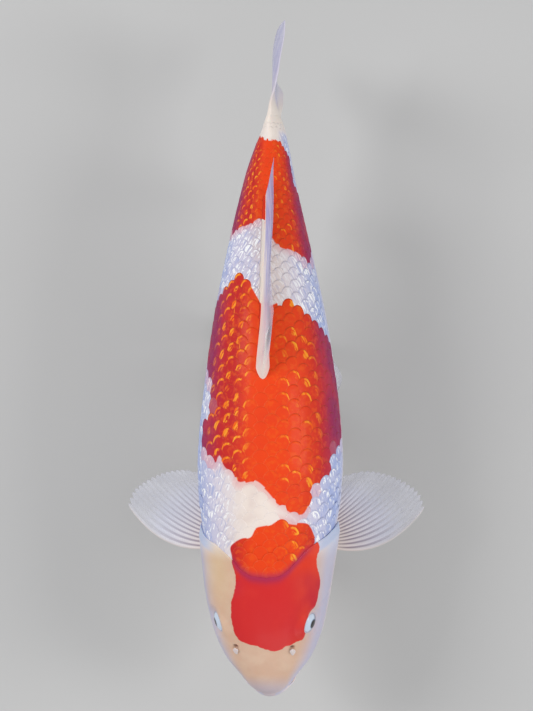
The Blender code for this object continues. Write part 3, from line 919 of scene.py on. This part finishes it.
def scale_roots(random):
    """Station, share and row of every scale's root. None lies under the dorsal fin."""
    halves = column_stations()
    roots = []
    for row in range(-ROWS_A_SIDE + 1, ROWS_A_SIDE + 1):
        share = float(row_share(row))
        first = float(border(np.array([share]))[0]) - 13.0
        for k in range(abs(row) % 2, len(halves), 2):
            station = halves[k]
            under_fin = row == 0 and UNDER_DORSAL[0] < station < UNDER_DORSAL[1]
            if station < first or station > LAST_ROOTS - 9 * share**2 or under_fin:
                continue
            roots.append((station, share, row))
    roots = np.array(roots)
    roots[:, 0] += random.normal(0, 0.35, len(roots))
    roots[:, 1] += random.normal(0, 0.0012, len(roots))
    return roots


def scale_shape(pitch, half_wide, relief, random_lift):
    """Across, along and up of every point of every scale, in millimetres from its root."""
    turn = np.linspace(-math.pi / 2, math.pi / 2, SCALE_ACROSS)
    u = np.sin(turn)[None, None, :]
    v = np.linspace(0, 1, SCALE_ALONG)[None, :, None] ** 0.85
    pitch, half_wide, relief = (some[:, None, None] for some in (pitch, half_wide, relief))
    length = SCALE_LENGTH * pitch
    round_off = 1.12 * half_wide * (1 - np.sqrt(np.clip(1 - u**2, 0, 1)))
    along = length * v - np.minimum(round_off, length * 0.72) * v**1.6
    across = half_wide * u * (0.74 + 0.26 * smooth(0, 0.5, v))
    dome = 0.24 * (1 - u**2) * np.sin(math.pi * np.clip(v, 0, 1) * 0.86) * half_wide / 8
    tuck = 0.22 * np.abs(u) ** 3 * (0.4 + 0.6 * v) + 0.10 * smooth(0.86, 1.0, v)
    up = 0.16 + relief * (0.034 * along + dome - tuck + random_lift[:, None, None] * v**2)
    return across, along, up + (1 - relief) * 0.008 * along


def rim_places(across, along):
    """For every point of every scale, how far it is from the scale's outer rim in millimetres, and
    its direction from the middle of the rounded end: 0 towards the tail and 1 square to that."""
    rims = np.stack([
        np.concatenate([across[:, 4:-1, 0], across[:, -1], across[:, -2:3:-1, -1]], axis=1),
        np.concatenate([along[:, 4:-1, 0], along[:, -1], along[:, -2:3:-1, -1]], axis=1)], axis=-1)
    points = np.stack([across, along], axis=-1)
    gap = np.full(across.shape, 1e9)
    for k in range(rims.shape[1] - 1):
        start, step = rims[:, k, None, None], (rims[:, k + 1] - rims[:, k])[:, None, None]
        t = np.sum((points - start) * step, axis=-1) / (np.sum(step * step, axis=-1) + 1e-9)
        place = start + np.clip(t, 0, 1)[..., None] * step
        gap = np.minimum(gap, np.linalg.norm(points - place, axis=-1))
    middle = along[:, -1:, SCALE_ACROSS // 2, None] - across[:, -1:, -1:]
    return gap, np.arctan2(across, along - middle) / (math.pi / 2)


class ScaleShader(Shader):
    """The scales' colours, and the patterns that they share."""

    def __init__(self):
        super().__init__("koi_scales")
        self.side, self.turned, self.station, self.gap, self.across, self.along = (
            self.value(name) for name in ("side", "turned", "station", "gap", "across", "along"))
        self.chance, self.other, bearing = (
            self.value(name) for name in ("chance", "chance_two", "bearing"))
        self.cloud = self.noise(34.0, 3.0)
        self.patchy = self.noise(1.0, 2.0, self.vector(
            self.times(self.across, 0.22), self.times(self.along, 0.22), self.times(self.chance, 90.0)))
        slant = self.times(self.along, self.math("SIGN", self.turned))
        slant = self.math("MULTIPLY_ADD", slant, 0.55, self.across)
        self.streak = self.noise(1.0, 2.0, self.vector(
            self.times(slant, 0.5), self.times(self.along, 0.10), self.times(self.chance, 40.0)))
        # painted shade: darker over the last millimetre in from each scale's rim, where the scales step
        # over one another, but not on the ridge
        self.groove = self.times(self.ramp(self.gap, 1.1, 0.0), self.ramp(self.side, 0.04, 0.16))
        # painted highlight: the last half millimetre in from each scale's rim is made lighter, as if its
        # edge caught the light
        self.painted_rim_highlight = self.times(self.ramp(self.gap, 0.5, 0.1), 0.35)
        # which way round each rim the painted glints go
        first = self.math("MULTIPLY_ADD", self.other, 0.6, -0.5)
        last = self.math("MULTIPLY_ADD", self.chance, 0.5, 0.8)
        self.window = self.times(
            self.ramp(self.math("SUBTRACT", bearing, first), 0.0, 0.25),
            self.ramp(self.math("SUBTRACT", last, bearing), 0.0, 0.25))

    def gold(self):
        """Where a red scale has a painted gold glint: an arc inside its rim, which on some is double or
        filled.
        """
        gap, turned = self.gap, self.turned
        left = self.times(
            self.band(turned, -0.03, -0.08, -0.21, -0.31), self.ramp(self.chance, 0.02, 0.15, 0.4, 1.0))
        right = self.times(self.band(turned, 0.05, 0.13, 0.22, 0.30), self.ramp(self.chance, 0.35, 0.65))
        rim = self.times(self.band(gap, 0.5, 0.9, 2.3, 3.0), self.ramp(self.patchy, 0.24, 0.36))
        echo = self.times(self.band(gap, 3.4, 3.8, 4.8, 5.4), self.ramp(self.other, 0.5, 0.7))
        filled = self.times(
            self.band(gap, 1.8, 2.4, 5.6, 7.0), self.ramp(self.streak, 0.42, 0.52),
            self.ramp(self.patchy, 0.40, 0.52), self.ramp(self.other, 0.3, 0.45, 0.0, 0.9))
        plain_nape = self.times(self.ramp(self.station, 184.0, 170.0), self.ramp(turned, 0.16, 0.06))
        return self.times(
            self.most(self.most(rim, echo), filled), self.window, self.most(left, right),
            self.rest(plain_nape))

    def red(self):
        """Orange on the ridge, then scarlet, and purple down the flanks, which is partly the red's own tone
        and partly painted shade and painted blue reflection; with painted gold glints.
        """
        side, turned = self.side, self.turned
        # partly the red's own tone, partly painted shade and a painted blue reflection: scarlet off the
        # ridge, then purple down the flanks, sooner on the left
        high = self.most(self.ramp(turned, -0.03, -0.13), self.ramp(turned, 0.14, 0.32))
        low = self.most(self.ramp(turned, -0.15, -0.31), self.ramp(turned, 0.24, 0.40))
        orange = self.times(self.ramp(self.patchy, 0.48, 0.66, 0.0, 0.4), self.ramp(side, 0.0, 0.05))
        # painted glint colour, orange to gold
        painted_glint_gold = self.mix(self.ramp(self.streak, 0.35, 0.68), srgb(246, 104, 22), srgb(254, 172, 52))
        return self.layers(
            srgb(236, 70, 28),
            (high, srgb(198, 44, 44)),
            (orange, srgb(240, 100, 34)),
            (low, srgb(148, 42, 90)),
            (self.ramp(side, 0.62, 0.8), srgb(168, 38, 50)),
            (self.ramp(self.cloud, 0.45, 0.72, 0.0, 0.35), srgb(220, 58, 36)),
            # painted shade along the red scales' rims
            (self.times(self.groove, 0.25), srgb(122, 20, 50)),
            # painted highlight on the red scales' rims
            (self.painted_rim_highlight, srgb(252, 124, 70)),
            (self.gold(), painted_glint_gold))

    def white(self):
        """Cream on the ridge, blue-white on the flanks from a painted blue reflection, with painted bright
        glints, and paler below.
        """
        side, turned, station, gap = self.side, self.turned, self.station, self.gap
        to_rear = self.ramp(station, 262.0, 290.0)
        left_rear_painted_shade = self.times(to_rear, self.ramp(turned, 0.05, -0.06), 0.75)
        ridge = self.times(self.ramp(side, 0.16, 0.06), self.ramp(self.cloud, 0.55, 0.35, 0.0, 0.6))
        last_ones = self.times(self.ramp(station, 494.0, 512.0), self.ramp(turned, 0.35, 0.1))
        last_ones = self.most(last_ones, self.ramp(station, 510.0, 518.0))
        right_band = self.band(turned, -0.02, 0.02, 0.16, 0.24)
        # where the painted glints and the painted blue shade go: off the ridge and on the rear back, less
        # on the belly, the last scales and the right band
        shine = self.times(
            self.most(self.ramp(side, 0.06, 0.20), to_rear), self.rest(self.times(last_ones, 0.85)),
            self.ramp(side, 0.34, 0.52, 1.0, 0.3), self.rest(self.times(right_band, 0.55)))
        # painted shade: dark blue-grey streaks and the painted rim shade, tinted by a painted blue
        # reflection
        painted_blue_shade = self.most(self.times(self.groove, 0.3), self.ramp(self.streak, 0.44, 0.34, 0.0, 0.55))
        # painted highlights: sparks just in from some rims, and slanting streaks over the flanks
        spark = self.times(
            self.band(gap, 0.6, 1.1, 2.0, 2.6), self.ramp(self.patchy, 0.48, 0.56), self.window)
        shoulder = self.ramp(station, 262.0, 232.0, 0.0, 0.08)
        glint = self.times(
            self.band(gap, 0.8, 1.4, 6.0, 8.0), self.ramp(self.streak, 0.52, 0.57),
            self.ramp(self.math("SUBTRACT", self.patchy, shoulder), 0.38, 0.46))
        return self.layers(
            srgb(238, 224, 214),
            # painted blue reflection: lavender off the ridge, painted lavender shade on the left behind the
            # shoulder, then blue-white down the flanks
            (self.ramp(side, 0.05, 0.24), srgb(216, 210, 226)),
            (left_rear_painted_shade, srgb(196, 194, 222)),
            (self.ramp(side, 0.18, 0.40), srgb(164, 178, 222)),
            (self.ramp(side, 0.42, 0.62), srgb(226, 220, 224)),
            (self.ramp(self.cloud, 0.45, 0.75, 0.0, 0.3), srgb(234, 224, 228)),
            (ridge, srgb(220, 202, 196)),
            (self.times(last_ones, 0.9), CREAM),
            # painted highlight on the white scales' rims
            (self.painted_rim_highlight, srgb(252, 250, 252)),
            # painted blue shade, where the painted glints go
            (self.times(painted_blue_shade, shine), srgb(150, 166, 214)),
            # painted white glints
            (self.times(self.most(spark, glint), shine, 0.95), srgb(253, 254, 255)))


def scale_material():
    """White scales pass to red ones at a patch's edge. Those just ahead of a patch are pink, because
    it shows through them."""
    shade = ScaleShader()
    inside = shade.value("red")
    is_red = shade.ramp(inside, -0.5, 0.5)
    hidden = shade.times(shade.value("front"), shade.ramp(inside, -8.0, -0.5), 0.42)
    colour = shade.layers(
        shade.white(),
        (hidden, srgb(226, 126, 126)),
        (is_red, shade.red()),
        # painted shade in the fold behind the nape
        (shade.times(shade.value("crease"), is_red, 0.66), FOLD_SHADE_PLUM))
    rays = shade.math("SINE", shade.times(shade.across, 5.5))
    rings = shade.math("SINE", shade.times(shade.along, 9.0))
    grain = shade.bump(shade.noise(420.0, 3.0), 0.12, 0.0008)
    return shade.finish(
        Base_Color=colour, Roughness=shade.ramp(shade.noise(150.0, 2.0), 0.3, 0.7, 0.44, 0.58),
        Normal=shade.bump(shade.math("ADD", rays, rings), 0.08, 0.0003, grain), Coat_Weight=0.04,
        Coat_Roughness=0.14, Specular_IOR_Level=0.08)


def scale_relief(station, share, pitch, sunk):
    """How far the tips of the scales stand up, as a share of the most."""
    relief = lerp(0.1, 0.75, smooth(0.04, 0.22, np.abs(share))) * (1 - 0.85 * sunk)
    relief *= lerp(1.0, 0.55, (redness(station + pitch, share) < 0) & (np.abs(share) < 0.3))
    return relief * lerp(1.0, 0.4, smooth(488, 505, station))


def scale_base(roots, pitch, station, share, along, sunk):
    """The lift that every point of every scale stands on. A scale lies level with the skin under its
    middle. At the nape the front edges dip into the skin, and so do the edge behind the dorsal fin
    and the tips of the last scales."""
    station0, _, row = (some[:, None, None] for some in roots.T)
    level = coat_floor(np.maximum(station0 + 0.5 * pitch, border(share) + 1.0), share)
    at_tail = smooth(490, 505, station0)
    level = lerp(level - 0.12 * sunk, coat_floor(station, share), at_tail) + 0.14 * at_tail
    past_fin = station0 - UNDER_DORSAL[1]
    behind_fin = (row == 0) & (past_fin > -1) & (past_fin < 8)
    dip = 1.4 * smooth(-1.2, 2.0, border(share) - station) * nape_mask(roots)[:, None, None]
    dip = dip + 0.9 * behind_fin * smooth(5.0, 1.0, along)
    return level - (dip + 0.4 * smooth(LAST_ROOTS, LAST_ROOTS + 9, station))


def scale_reds(station, share, middle, share0, wide, sunk):
    """How far inside the red each point is, and 1 for a scale in a red patch or just ahead of one. A
    scale has one colour, but on the ridge, at the nape and on a patch's front edge the edge cuts
    through it."""
    whole = redness(middle, share0)[:, None, None]
    each = redness(station, share)
    tailward, headward = redness(middle + 8.0, share0), redness(middle - 8.0, share0)
    front = np.maximum(smooth(-2, 6, tailward - headward), (tailward > 0) & (headward > 0))
    cut = (wide < 15) | (sunk > 0.1) | ((front > 0.5) & (wide < 44))
    return lerp(whole, each, 0.75 * cut[:, None, None]), front[:, None, None]


def nape_mask(roots):
    """1 for the scales on the nape, 0 on the flanks."""
    return 1 - smooth(36, 56, np.abs(np.degrees(turn_at(roots[:, 0], roots[:, 1]))))


def make_scales(material):
    random = np.random.default_rng(7)
    roots = scale_roots(random)
    station0, share0, row = roots.T
    pitch = scale_pitch(station0)
    girth = half_girth(station0 + pitch)
    spacing = (row_share(np.abs(row) + 0.5) - row_share(np.abs(row) - 0.5)) * girth
    half_wide = np.clip(0.76 * spacing, 3.2, 12.5)
    chance, other, lifted = random.random((3, len(roots)))
    sunk = nape_mask(roots) * (1 - smooth(4, 26, station0 - border(share0)))
    relief = scale_relief(station0, share0, pitch, sunk)
    across, along, up = scale_shape(pitch, half_wide, relief, (lifted - 0.5) * 0.16)
    middle, wide = station0 + 1.15 * pitch, np.abs(share0) * girth

    pitch, half_wide, lateral = (
        some[:, None, None] for some in (pitch, half_wide, np.abs(row) == LATERAL_ROW))
    tight = pitch / 12.6
    station = station0[:, None, None] + along
    share = share0[:, None, None] + across / half_girth(station)
    turn = turn_at(station, share)
    u, v = across / half_wide, along / (SCALE_LENGTH * pitch)
    canal = 0.35 * lateral * np.exp(-((across / 1.1) ** 2)) * smooth(0.35, 0.5, v) * smooth(0.95, 0.86, v)
    top = (up + canal) * tight + scale_base(roots, pitch, station, share, along, sunk[:, None, None])
    form, normal = surface(station, turn), outward(station, turn)
    near = form + normal * top[..., None]
    far = form + normal * (top - SCALE_THICKNESS * tight)[..., None]

    red, front = scale_reds(station, share, middle, share0, wide, sunk)
    gap, bearing = rim_places(across, along)
    values = {
        "red": red,
        "station": station,
        "side": 0.6 * np.abs(share) + 0.4 * np.abs(share0)[:, None, None],
        "turned": share,
        "gap": gap / tight,
        "bearing": bearing * np.sign(share0)[:, None, None],
        "chance": chance[:, None, None],
        "chance_two": other[:, None, None],
        "front": front,
        "crease": crease(station, share),
        "across": across,
        "along": along,
    }
    root_place = np.stack([0.02 + 0.96 * station0 / 560, 0.5 + 0.48 * share0], axis=-1)[:, None, None]
    spot = root_place + PATCH * (np.stack([v, 0.5 + 0.5 * u], axis=-1) - 0.5)
    first = 0
    for name, last in GROUPS:
        chosen = (station0 >= first) & (station0 < last)
        join_scales("scales_" + name, chosen, near, far, values, spot, material)
        first = last


def join_scales(name, chosen, near, far, values, spot, material):
    """One mesh of the chosen scales. Each is a closed plate: its outer side, then its inner side."""
    count, rows, columns = near[chosen].shape[:3]
    plate = slab_faces(rows, columns)
    faces = plate[None] + 2 * rows * columns * np.arange(count)[:, None, None]
    rims = np.tile(np.arange(len(plate)) >= 2 * (rows - 1) * (columns - 1), count)

    def both(outer, inner):
        return np.stack([outer[chosen], inner[chosen]], axis=1)

    spread = {key: np.broadcast_to(numbers, near.shape[:3]) for key, numbers in values.items()}
    make_piece(
        name, in_world(both(near, far).reshape(-1, 3)), [faces.reshape(-1, 4)], material,
        {key: both(numbers, numbers).ravel() for key, numbers in spread.items()},
        both(spot, spot).reshape(-1, 2), rims)


# ---- the fins: webs with raised, branching rays ----

WEB = 0.5  # the thickness between the rays


def ray_relief(u, v, rays):
    """1 on a ray and 0 in the narrow web beside it. Each ray parts in two towards the rim."""
    place = np.abs((u * rays) % 1.0 - 0.5)
    web = np.exp(-(((0.5 - place) / lerp(0.34, 0.16, v)) ** 2))
    parting = 0.4 * np.exp(-((place / 0.07) ** 2)) * smooth(0.55, 0.95, v)
    return np.clip(1 - web - parting, 0.0, 1.0)


def bowed(root, tip, bow, v, leaving=(0, 0, 0)):
    """Points of rays from root to tip that bend towards bow. Below v = 0 they are in the flesh."""
    control = (root + tip) / 2 + bow
    v = v[..., None]
    held = np.maximum(v, 0)
    curve = root * (1 - held) ** 2 + control * 2 * held * (1 - held) + tip * held**2
    return curve + np.asarray(leaving) * np.minimum(v, 0)


def pectoral(side):
    tips = [(142, 166, -72), (137, 180, -72), (127, 189, -71), (114, 196, -69), (100, 200.5, -67),
            (85, 202, -64), (66, 198, -62)]

    def middle(u, v):
        root = np.stack([45 - 5 * u, 133 + 25 * u, -53 - 5 * u], axis=-1)
        bow = np.array((7.5, -36.5, 3)) * ((1 - u) ** 1.6)[..., None]
        points = bowed(root, spline(tips, u), bow, v, (80, 0, -20)) * (side, 1, 1)
        return points - np.stack([3 * np.maximum(v, 0), 0 * u, 0 * u], axis=-1)

    return middle


def pelvic(side):
    tips = [(58, 283, -85), (59, 291, -87), (55, 301, -88), (48, 310, -88), (37, 315, -86)]

    def middle(u, v):
        root = np.stack([21 + 5 * u, 244 + 17 * u, -67 + 0 * u], axis=-1)
        bow = np.array((6, -7, -2)) * ((1 - u) ** 1.5)[..., None]
        return bowed(root, spline(tips, u), bow, v, (20, 40, -50)) * (side, 1, 1)

    return middle


def dorsal(u, v):
    """The front ray stands up most. The others lie back more and more, and lean to +X. The root is
    a little to the +X side of the ridge."""
    station = 292.5 + 165.5 * u
    length = 51 - 15 * smooth(0.0, 0.45, u) - 5 * smooth(0.5, 1.0, u)
    swept = np.radians(42 + 36 * smooth(0.0, 1.0, u) + 6 * v)
    lean = np.radians(24 * smooth(-0.12, 0.14, u))
    out = length * v
    root = 1.8 + 0.6 * smooth(0.0, 0.5, u) + 1.3 * np.sin(math.pi * np.clip(u / 0.6 - 0.67, 0, 1))
    x = root + out * np.cos(swept) * np.sin(lean) + 4.0 * v * smooth(0.3, 0.8, u)
    height = top_height(station) - 0.5 + out * np.cos(swept) * np.cos(lean)
    return np.stack([x, station + out * np.sin(swept), height], axis=-1)


def anal(u, v):
    station = 416 + 32 * u
    swept = np.radians(46 + 14 * u + 8 * v)
    out = (54 - 27 * u) * v
    height = belly_height(station) + 0.5 - out * np.cos(swept)
    return np.stack([0 * u, station + out * np.sin(swept), height], axis=-1)


def caudal(sign):
    """One lobe of the tail fin. sign is 1 above and -1 below, where the lobe is a little shorter."""
    tips = [(0, 606, LOBE_HEIGHT), (0, 604.5, 62), (0, 599, 46), (0, 587, 26), (0, 573, 9),
            (0, 569, 3.5)]
    shorter = 0.0 if sign > 0 else 4.0

    def middle(u, v):
        root_height = (32.0 if sign > 0 else 28.0) * (1 - u) + 0.4
        root = np.stack([0 * u, FLESH_LENGTH + FIN_GAP + 0 * u, root_height], axis=-1)
        tip = spline(tips, u) - np.stack([0 * u, shorter * (1 - u), 0 * u], axis=-1)
        bow = np.array((0, 4, 4)) * (1 - u)[..., None]
        return bowed(root, tip, bow, v, (0, 30, 0)) * (1, 1, sign)

    return middle


def fin_material():
    """Pale rays with dark joints in a web that clears towards the rim. A mesh's lavender shade, a painted
    shade with a painted blue reflection, turns it to lavender, and its bare parts are cream."""
    shade = Shader("koi_fin")
    ray, out, bare, front, lavender_shade = (shade.value(name) for name in ("ray", "out", "bare", "front", "lavender_shade"))
    joints = shade.ramp(shade.math("SINE", shade.times(shade.value("length"), 3.2)), 0.55, 0.95)
    joints = shade.times(joints, ray, shade.ramp(out, 0.2, 0.4))
    cloud = shade.noise(28.0, 3.0)
    fine = shade.noise(
        1.0, 2.0, shade.vector(shade.times(shade.value("fan"), 30.0), shade.times(out, 3.0)))
    edge = shade.times(front, 0.8)
    bony = shade.most(shade.ramp(ray, 0.0, 0.8), shade.ramp(out, 0.42, 0.8, 0.0, 0.85))
    bone = shade.layers(
        srgb(226, 212, 208),
        (shade.ramp(out, 0.1, 0.7), srgb(222, 224, 238)),
        (shade.times(joints, 0.3), srgb(190, 186, 204)))
    lavender = shade.layers(
        srgb(152, 150, 204),
        (shade.ramp(fine, 0.35, 0.65), srgb(186, 182, 214)),
        (edge, srgb(206, 206, 236)))
    colour = shade.layers(
        srgb(176, 170, 190),
        (cloud, srgb(206, 202, 218)),
        (shade.ramp(out, 0.60, 0.10), srgb(142, 122, 132)),
        (bony, bone),
        (shade.most(bare, edge), CREAM),
        # painted lavender shade, with a painted blue reflection
        (lavender_shade, lavender))
    clear = shade.math(
        "SUBTRACT", shade.ramp(out, 0.25, 0.9, 0.92, 0.22), shade.ramp(cloud, 0.4, 0.7, 0.0, 0.06))
    solid = shade.times(shade.ramp(ray, 0.0, 0.8), shade.ramp(out, 0.3, 0.9, 0.9, 0.08))
    solid = shade.most(solid, shade.most(bare, shade.times(front, 0.85)))
    solid = shade.most(solid, shade.times(lavender_shade, shade.ramp(out, 0.6, 1.0, 0.95, 0.5)))
    alpha = shade.math("MULTIPLY_ADD", solid, shade.rest(clear), clear)
    normal = shade.bump(fine, 0.2, 0.0005, shade.bump(joints, 0.25, 0.0003))
    return shade.finish(
        Base_Color=colour, Roughness=0.42, Normal=normal, Alpha=alpha, Specular_IOR_Level=0.4,
        Coat_Weight=0.2, Coat_Roughness=0.15)


def fin_flesh(points, u, v, root, flesh, folded, rounded):
    """The flesh at a fin's root thins out towards the rays. A folded fin's is thinner at its rear
    end. The tail fin's is as wide as the stalk, with rounded edges, and runs out behind it."""
    if not rounded:
        rear = 1 - 0.75 * smooth(0.55, 1.0, u) * (folded > 0)
        return (root - WEB) * (1 - smooth(-0.05, flesh, v)) * rear
    level = (1 - (0.975 * (1 - u)) ** 2.1) ** (1 / 2.1)
    behind = points[..., 1] - FLESH_LENGTH
    stalk = half_width(np.minimum(points[..., 1], FLESH_LENGTH))
    stalk = 2 * (stalk - lerp(0.85, 0.25, smooth(-4.4, 0, behind)))
    thick = np.minimum(root * np.exp(-behind / 15), np.where(behind < 0, stalk, 99))
    return level * thick * (1 - smooth(flesh, 2 * flesh, np.maximum(v, 0)))


def make_fin(name, middle, facing, rays, material, root, bone=0.8, folded=0.0, flesh=0.16, start=-0.1,
             wave=0.8, scallop=0.012, across=10, along=96, blunt=0.0, calm=1.0, cream=None, lavender_shade=0.0,
             rounded=False):
    """A fin as a closed thin plate. middle gives its middle surface, with u from the front ray to the last
    and v from the root to the rim. It starts inside the body, at a v below 0. Its thickness, in the
    direction facing, is that of the root's flesh, which goes as far out as flesh, the web, the rays (bone)
    and the bundle of a folded fin's first rays. blunt is how much of the front edge is rounded. wave is how
    far it ripples and scallop how far the rays pass the web. calm is how well the rays show, cream how far
    out the root's colour goes, and the lavender shade how much of it is lavender: a painted shade with a
    painted blue reflection."""
    facing = np.asarray(facing, dtype=float)
    facing /= np.linalg.norm(facing)
    v, u = np.meshgrid(
        start + (1 - start) * np.linspace(0, 1, along), np.linspace(0, 1, rays * across + 1), indexing="ij")
    held = np.maximum(v, 0)
    ray = ray_relief(u, held, rays)
    bulge = 1 - (2 * ((u * rays) % 1.0 - 0.5)) ** 2
    reach = v * (1 + scallop * (bulge - 0.6) * smooth(0.8, 1.0, v))
    ripple = wave * np.sin(u * rays * 0.9 + 3 * held) * held**2 * smooth(0, 0.1, 1 - held)
    points = middle(u, reach) + facing * ripple[..., None]
    bundle = folded * (1 - smooth(0.0, 0.4, u)) * (1 - held) ** 0.8
    relief = bone * ray * (1 - 0.75 * held) * smooth(flesh * 0.3, flesh * 1.3, v)
    leading = 0.7 * np.exp(-u / 0.03) * (1 - 0.6 * held) * (folded == 0)
    fleshy = fin_flesh(points, u, v, root, flesh, folded, rounded)
    thick = WEB * (1 - 0.45 * held) + fleshy + bundle + relief + leading
    thick *= 1 - 0.5 * smooth(0.965, 1.0, v)
    if blunt:
        thick *= np.sqrt(np.clip(u / blunt, 0.003, 1))
    offset = facing * thick[..., None] / 2
    steps = np.linalg.norm(np.diff(points, axis=0), axis=-1)
    length = np.concatenate([np.zeros((1, u.shape[1])), np.cumsum(steps, axis=0)])
    both = np.concatenate([(points + offset).reshape(-1, 3), (points - offset).reshape(-1, 3)])
    # where the painted lavender shade goes: the middle out from the root, and the rear of a fin that is not
    # the tail's
    middle_lavender_shade = smooth(0.06, 0.3, held) * smooth(0.1, 0.5, u + 0.6 * rounded)
    rear_lavender_shade = smooth(0.5, 0.75, u) * smooth(-0.02, 0.03, v) * (not rounded)
    values = {
        "ray": 1 - calm * (1 - ray * smooth(0.0, flesh, v)),
        "front": np.exp(-u / 0.022),
        "out": held,
        "bare": 1 - smooth(-0.02, cream or flesh * 1.2, v),
        "fan": 0.25 * held + 0.02 * u * rays if lavender_shade else u * rays,
        "lavender_shade": lavender_shade * np.maximum(middle_lavender_shade, rear_lavender_shade),
        "length": length,
    }
    values = {key: np.tile(numbers.ravel(), 2) for key, numbers in values.items()}
    faces = facing_out(both, [slab_faces(*u.shape)])
    kind, *word = name.split("_")
    make_piece(
        "fin_" + name, in_world(both), faces, material, values,
        replaces=["_".join([kind, "fin", *word])])


def make_fins(material):
    upright = (1, 0, 0)
    make_fin("dorsal", dorsal, upright, 19, material, root=4.5, folded=8.0, flesh=0.3, bone=0.3,
             wave=0.3, along=72, blunt=0.06, calm=0.2, cream=0.10, lavender_shade=0.9)
    make_fin("anal", anal, upright, 7, material, root=4.2, start=-0.12, wave=0.6, along=80)
    for side, word in ((1, "left"), (-1, "right")):
        make_fin("pectoral_" + word, pectoral(side), (side * 0.27, 0, 1), 17, material, root=4.6,
                 start=-0.09, scallop=0.03, across=12, along=130, cream=0.3)
        make_fin("pelvic_" + word, pelvic(side), (side * 0.25, 0.3, 1), 9, material, root=4.4, calm=0.6)
    for sign, word in ((1, "upper"), (-1, "lower")):
        make_fin("tail_" + word, caudal(sign), upright, 10, material, root=8.5, flesh=0.4,
                 start=-0.12, wave=0.4, calm=0.6, lavender_shade=0.6 if sign > 0 else 0.2, rounded=True)


# ---- the display stand ----


def wood_material():
    shade = Shader("stand_walnut")
    stretch = shade.stretched(9.0, 1.1, 9.0)
    grain = shade.add("ShaderNodeTexWave", {
        "Vector": stretch, "Scale": 5.0, "Distortion": 7.0, "Detail": 4.0, "Detail Scale": 1.6,
    }, bands_direction="X").outputs["Fac"]
    fibre = shade.noise(60.0, 4.0, stretch)
    colour = shade.mix(grain, srgb(70, 44, 28), srgb(112, 74, 46))
    colour = shade.mix(shade.ramp(fibre, 0.4, 0.75, 0.0, 0.6), colour, srgb(52, 32, 22))
    normal = shade.bump(fibre, 0.2, 0.0006)
    return shade.finish(
        Base_Color=colour, Roughness=shade.ramp(fibre, 0.3, 0.7, 0.38, 0.5), Normal=normal,
        Coat_Weight=0.25, Coat_Roughness=0.2)


def steel_material():
    shade = Shader("stand_brushed_steel")
    stretch = shade.stretched(40.0, 40.0, 1200.0)
    brush = shade.noise(1.0, 4.0, stretch)
    colour = shade.mix(brush, srgb(186, 188, 192), srgb(214, 214, 218))
    return shade.finish(
        Base_Color=colour, Metallic=1.0, Roughness=shade.ramp(brush, 0.3, 0.7, 0.26, 0.4),
        Normal=shade.bump(brush, 0.08, 0.0003))


def dress_stand(frame):
    finishes = {"stand_base": wood_material()}
    finishes["stand_rod_front"] = finishes["stand_rod_rear"] = steel_material()
    for name, material in finishes.items():
        mesh = frame["nodes"][name].data
        mesh.materials.clear()
        mesh.materials.append(material)


# ---- floor, light and camera ----


def make_floor():
    points = np.array([(-4, -4, 0), (4, -4, 0), (4, 4, 0), (-4, 4, 0)], dtype=float)
    mesh = bpy.data.meshes.new("floor")
    mesh.from_pydata(points.tolist(), [], [(0, 1, 2, 3)])
    shade = Shader("floor_paper")
    colour = shade.mix(shade.noise(3.0, 2.0), srgb(192, 192, 192), srgb(196, 196, 195))
    mesh.materials.append(shade.finish(Base_Color=colour, Roughness=0.9))
    floor = bpy.data.objects.new("floor", mesh)
    bpy.context.scene.collection.objects.link(floor)


def add_light(name, place, target, size, power):
    light = bpy.data.lights.new(name, "AREA")
    light.shape = "RECTANGLE"
    light.size, light.size_y = size
    light.energy = power
    lamp = bpy.data.objects.new(name, light)
    lamp.location = place
    lamp.rotation_euler = (Vector(target) - Vector(place)).to_track_quat("-Z", "Y").to_euler()
    bpy.context.scene.collection.objects.link(lamp)


def make_light():
    middle = (0.0, 0.06, 0.15)
    add_light("key", (-1.25, 0.45, 1.35), middle, (0.5, 0.9), 17)
    add_light("fill", (1.35, -0.1, 1.15), middle, (0.5, 0.9), 13)
    add_light("front", (0.15, -1.6, 0.7), middle, (0.9, 0.5), 4)
    world = bpy.data.worlds.new("studio")
    world.use_nodes = True
    world.node_tree.nodes["Background"].inputs["Color"].default_value = (0.98, 0.985, 1.0, 1.0)
    world.node_tree.nodes["Background"].inputs["Strength"].default_value = 0.42
    bpy.context.scene.world = world


def make_camera():
    """Straight above the fish, with its head at the bottom of the picture."""
    data = bpy.data.cameras.new("camera")
    data.lens = 88.35
    camera = bpy.data.objects.new("camera", data)
    camera.location = (-0.00275, 0.07224, 1.75)
    bpy.context.scene.collection.objects.link(camera)
    bpy.context.scene.camera = camera


def main():
    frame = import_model()
    make_skin()
    eye = eye_material()
    for side in (1, -1):
        make_eye(side, eye)
    make_scales(scale_material())
    make_fins(fin_material())
    dress_stand(frame)
    make_floor()
    make_light()
    make_camera()
    bpy.context.scene.view_settings.view_transform = "Standard"


main()
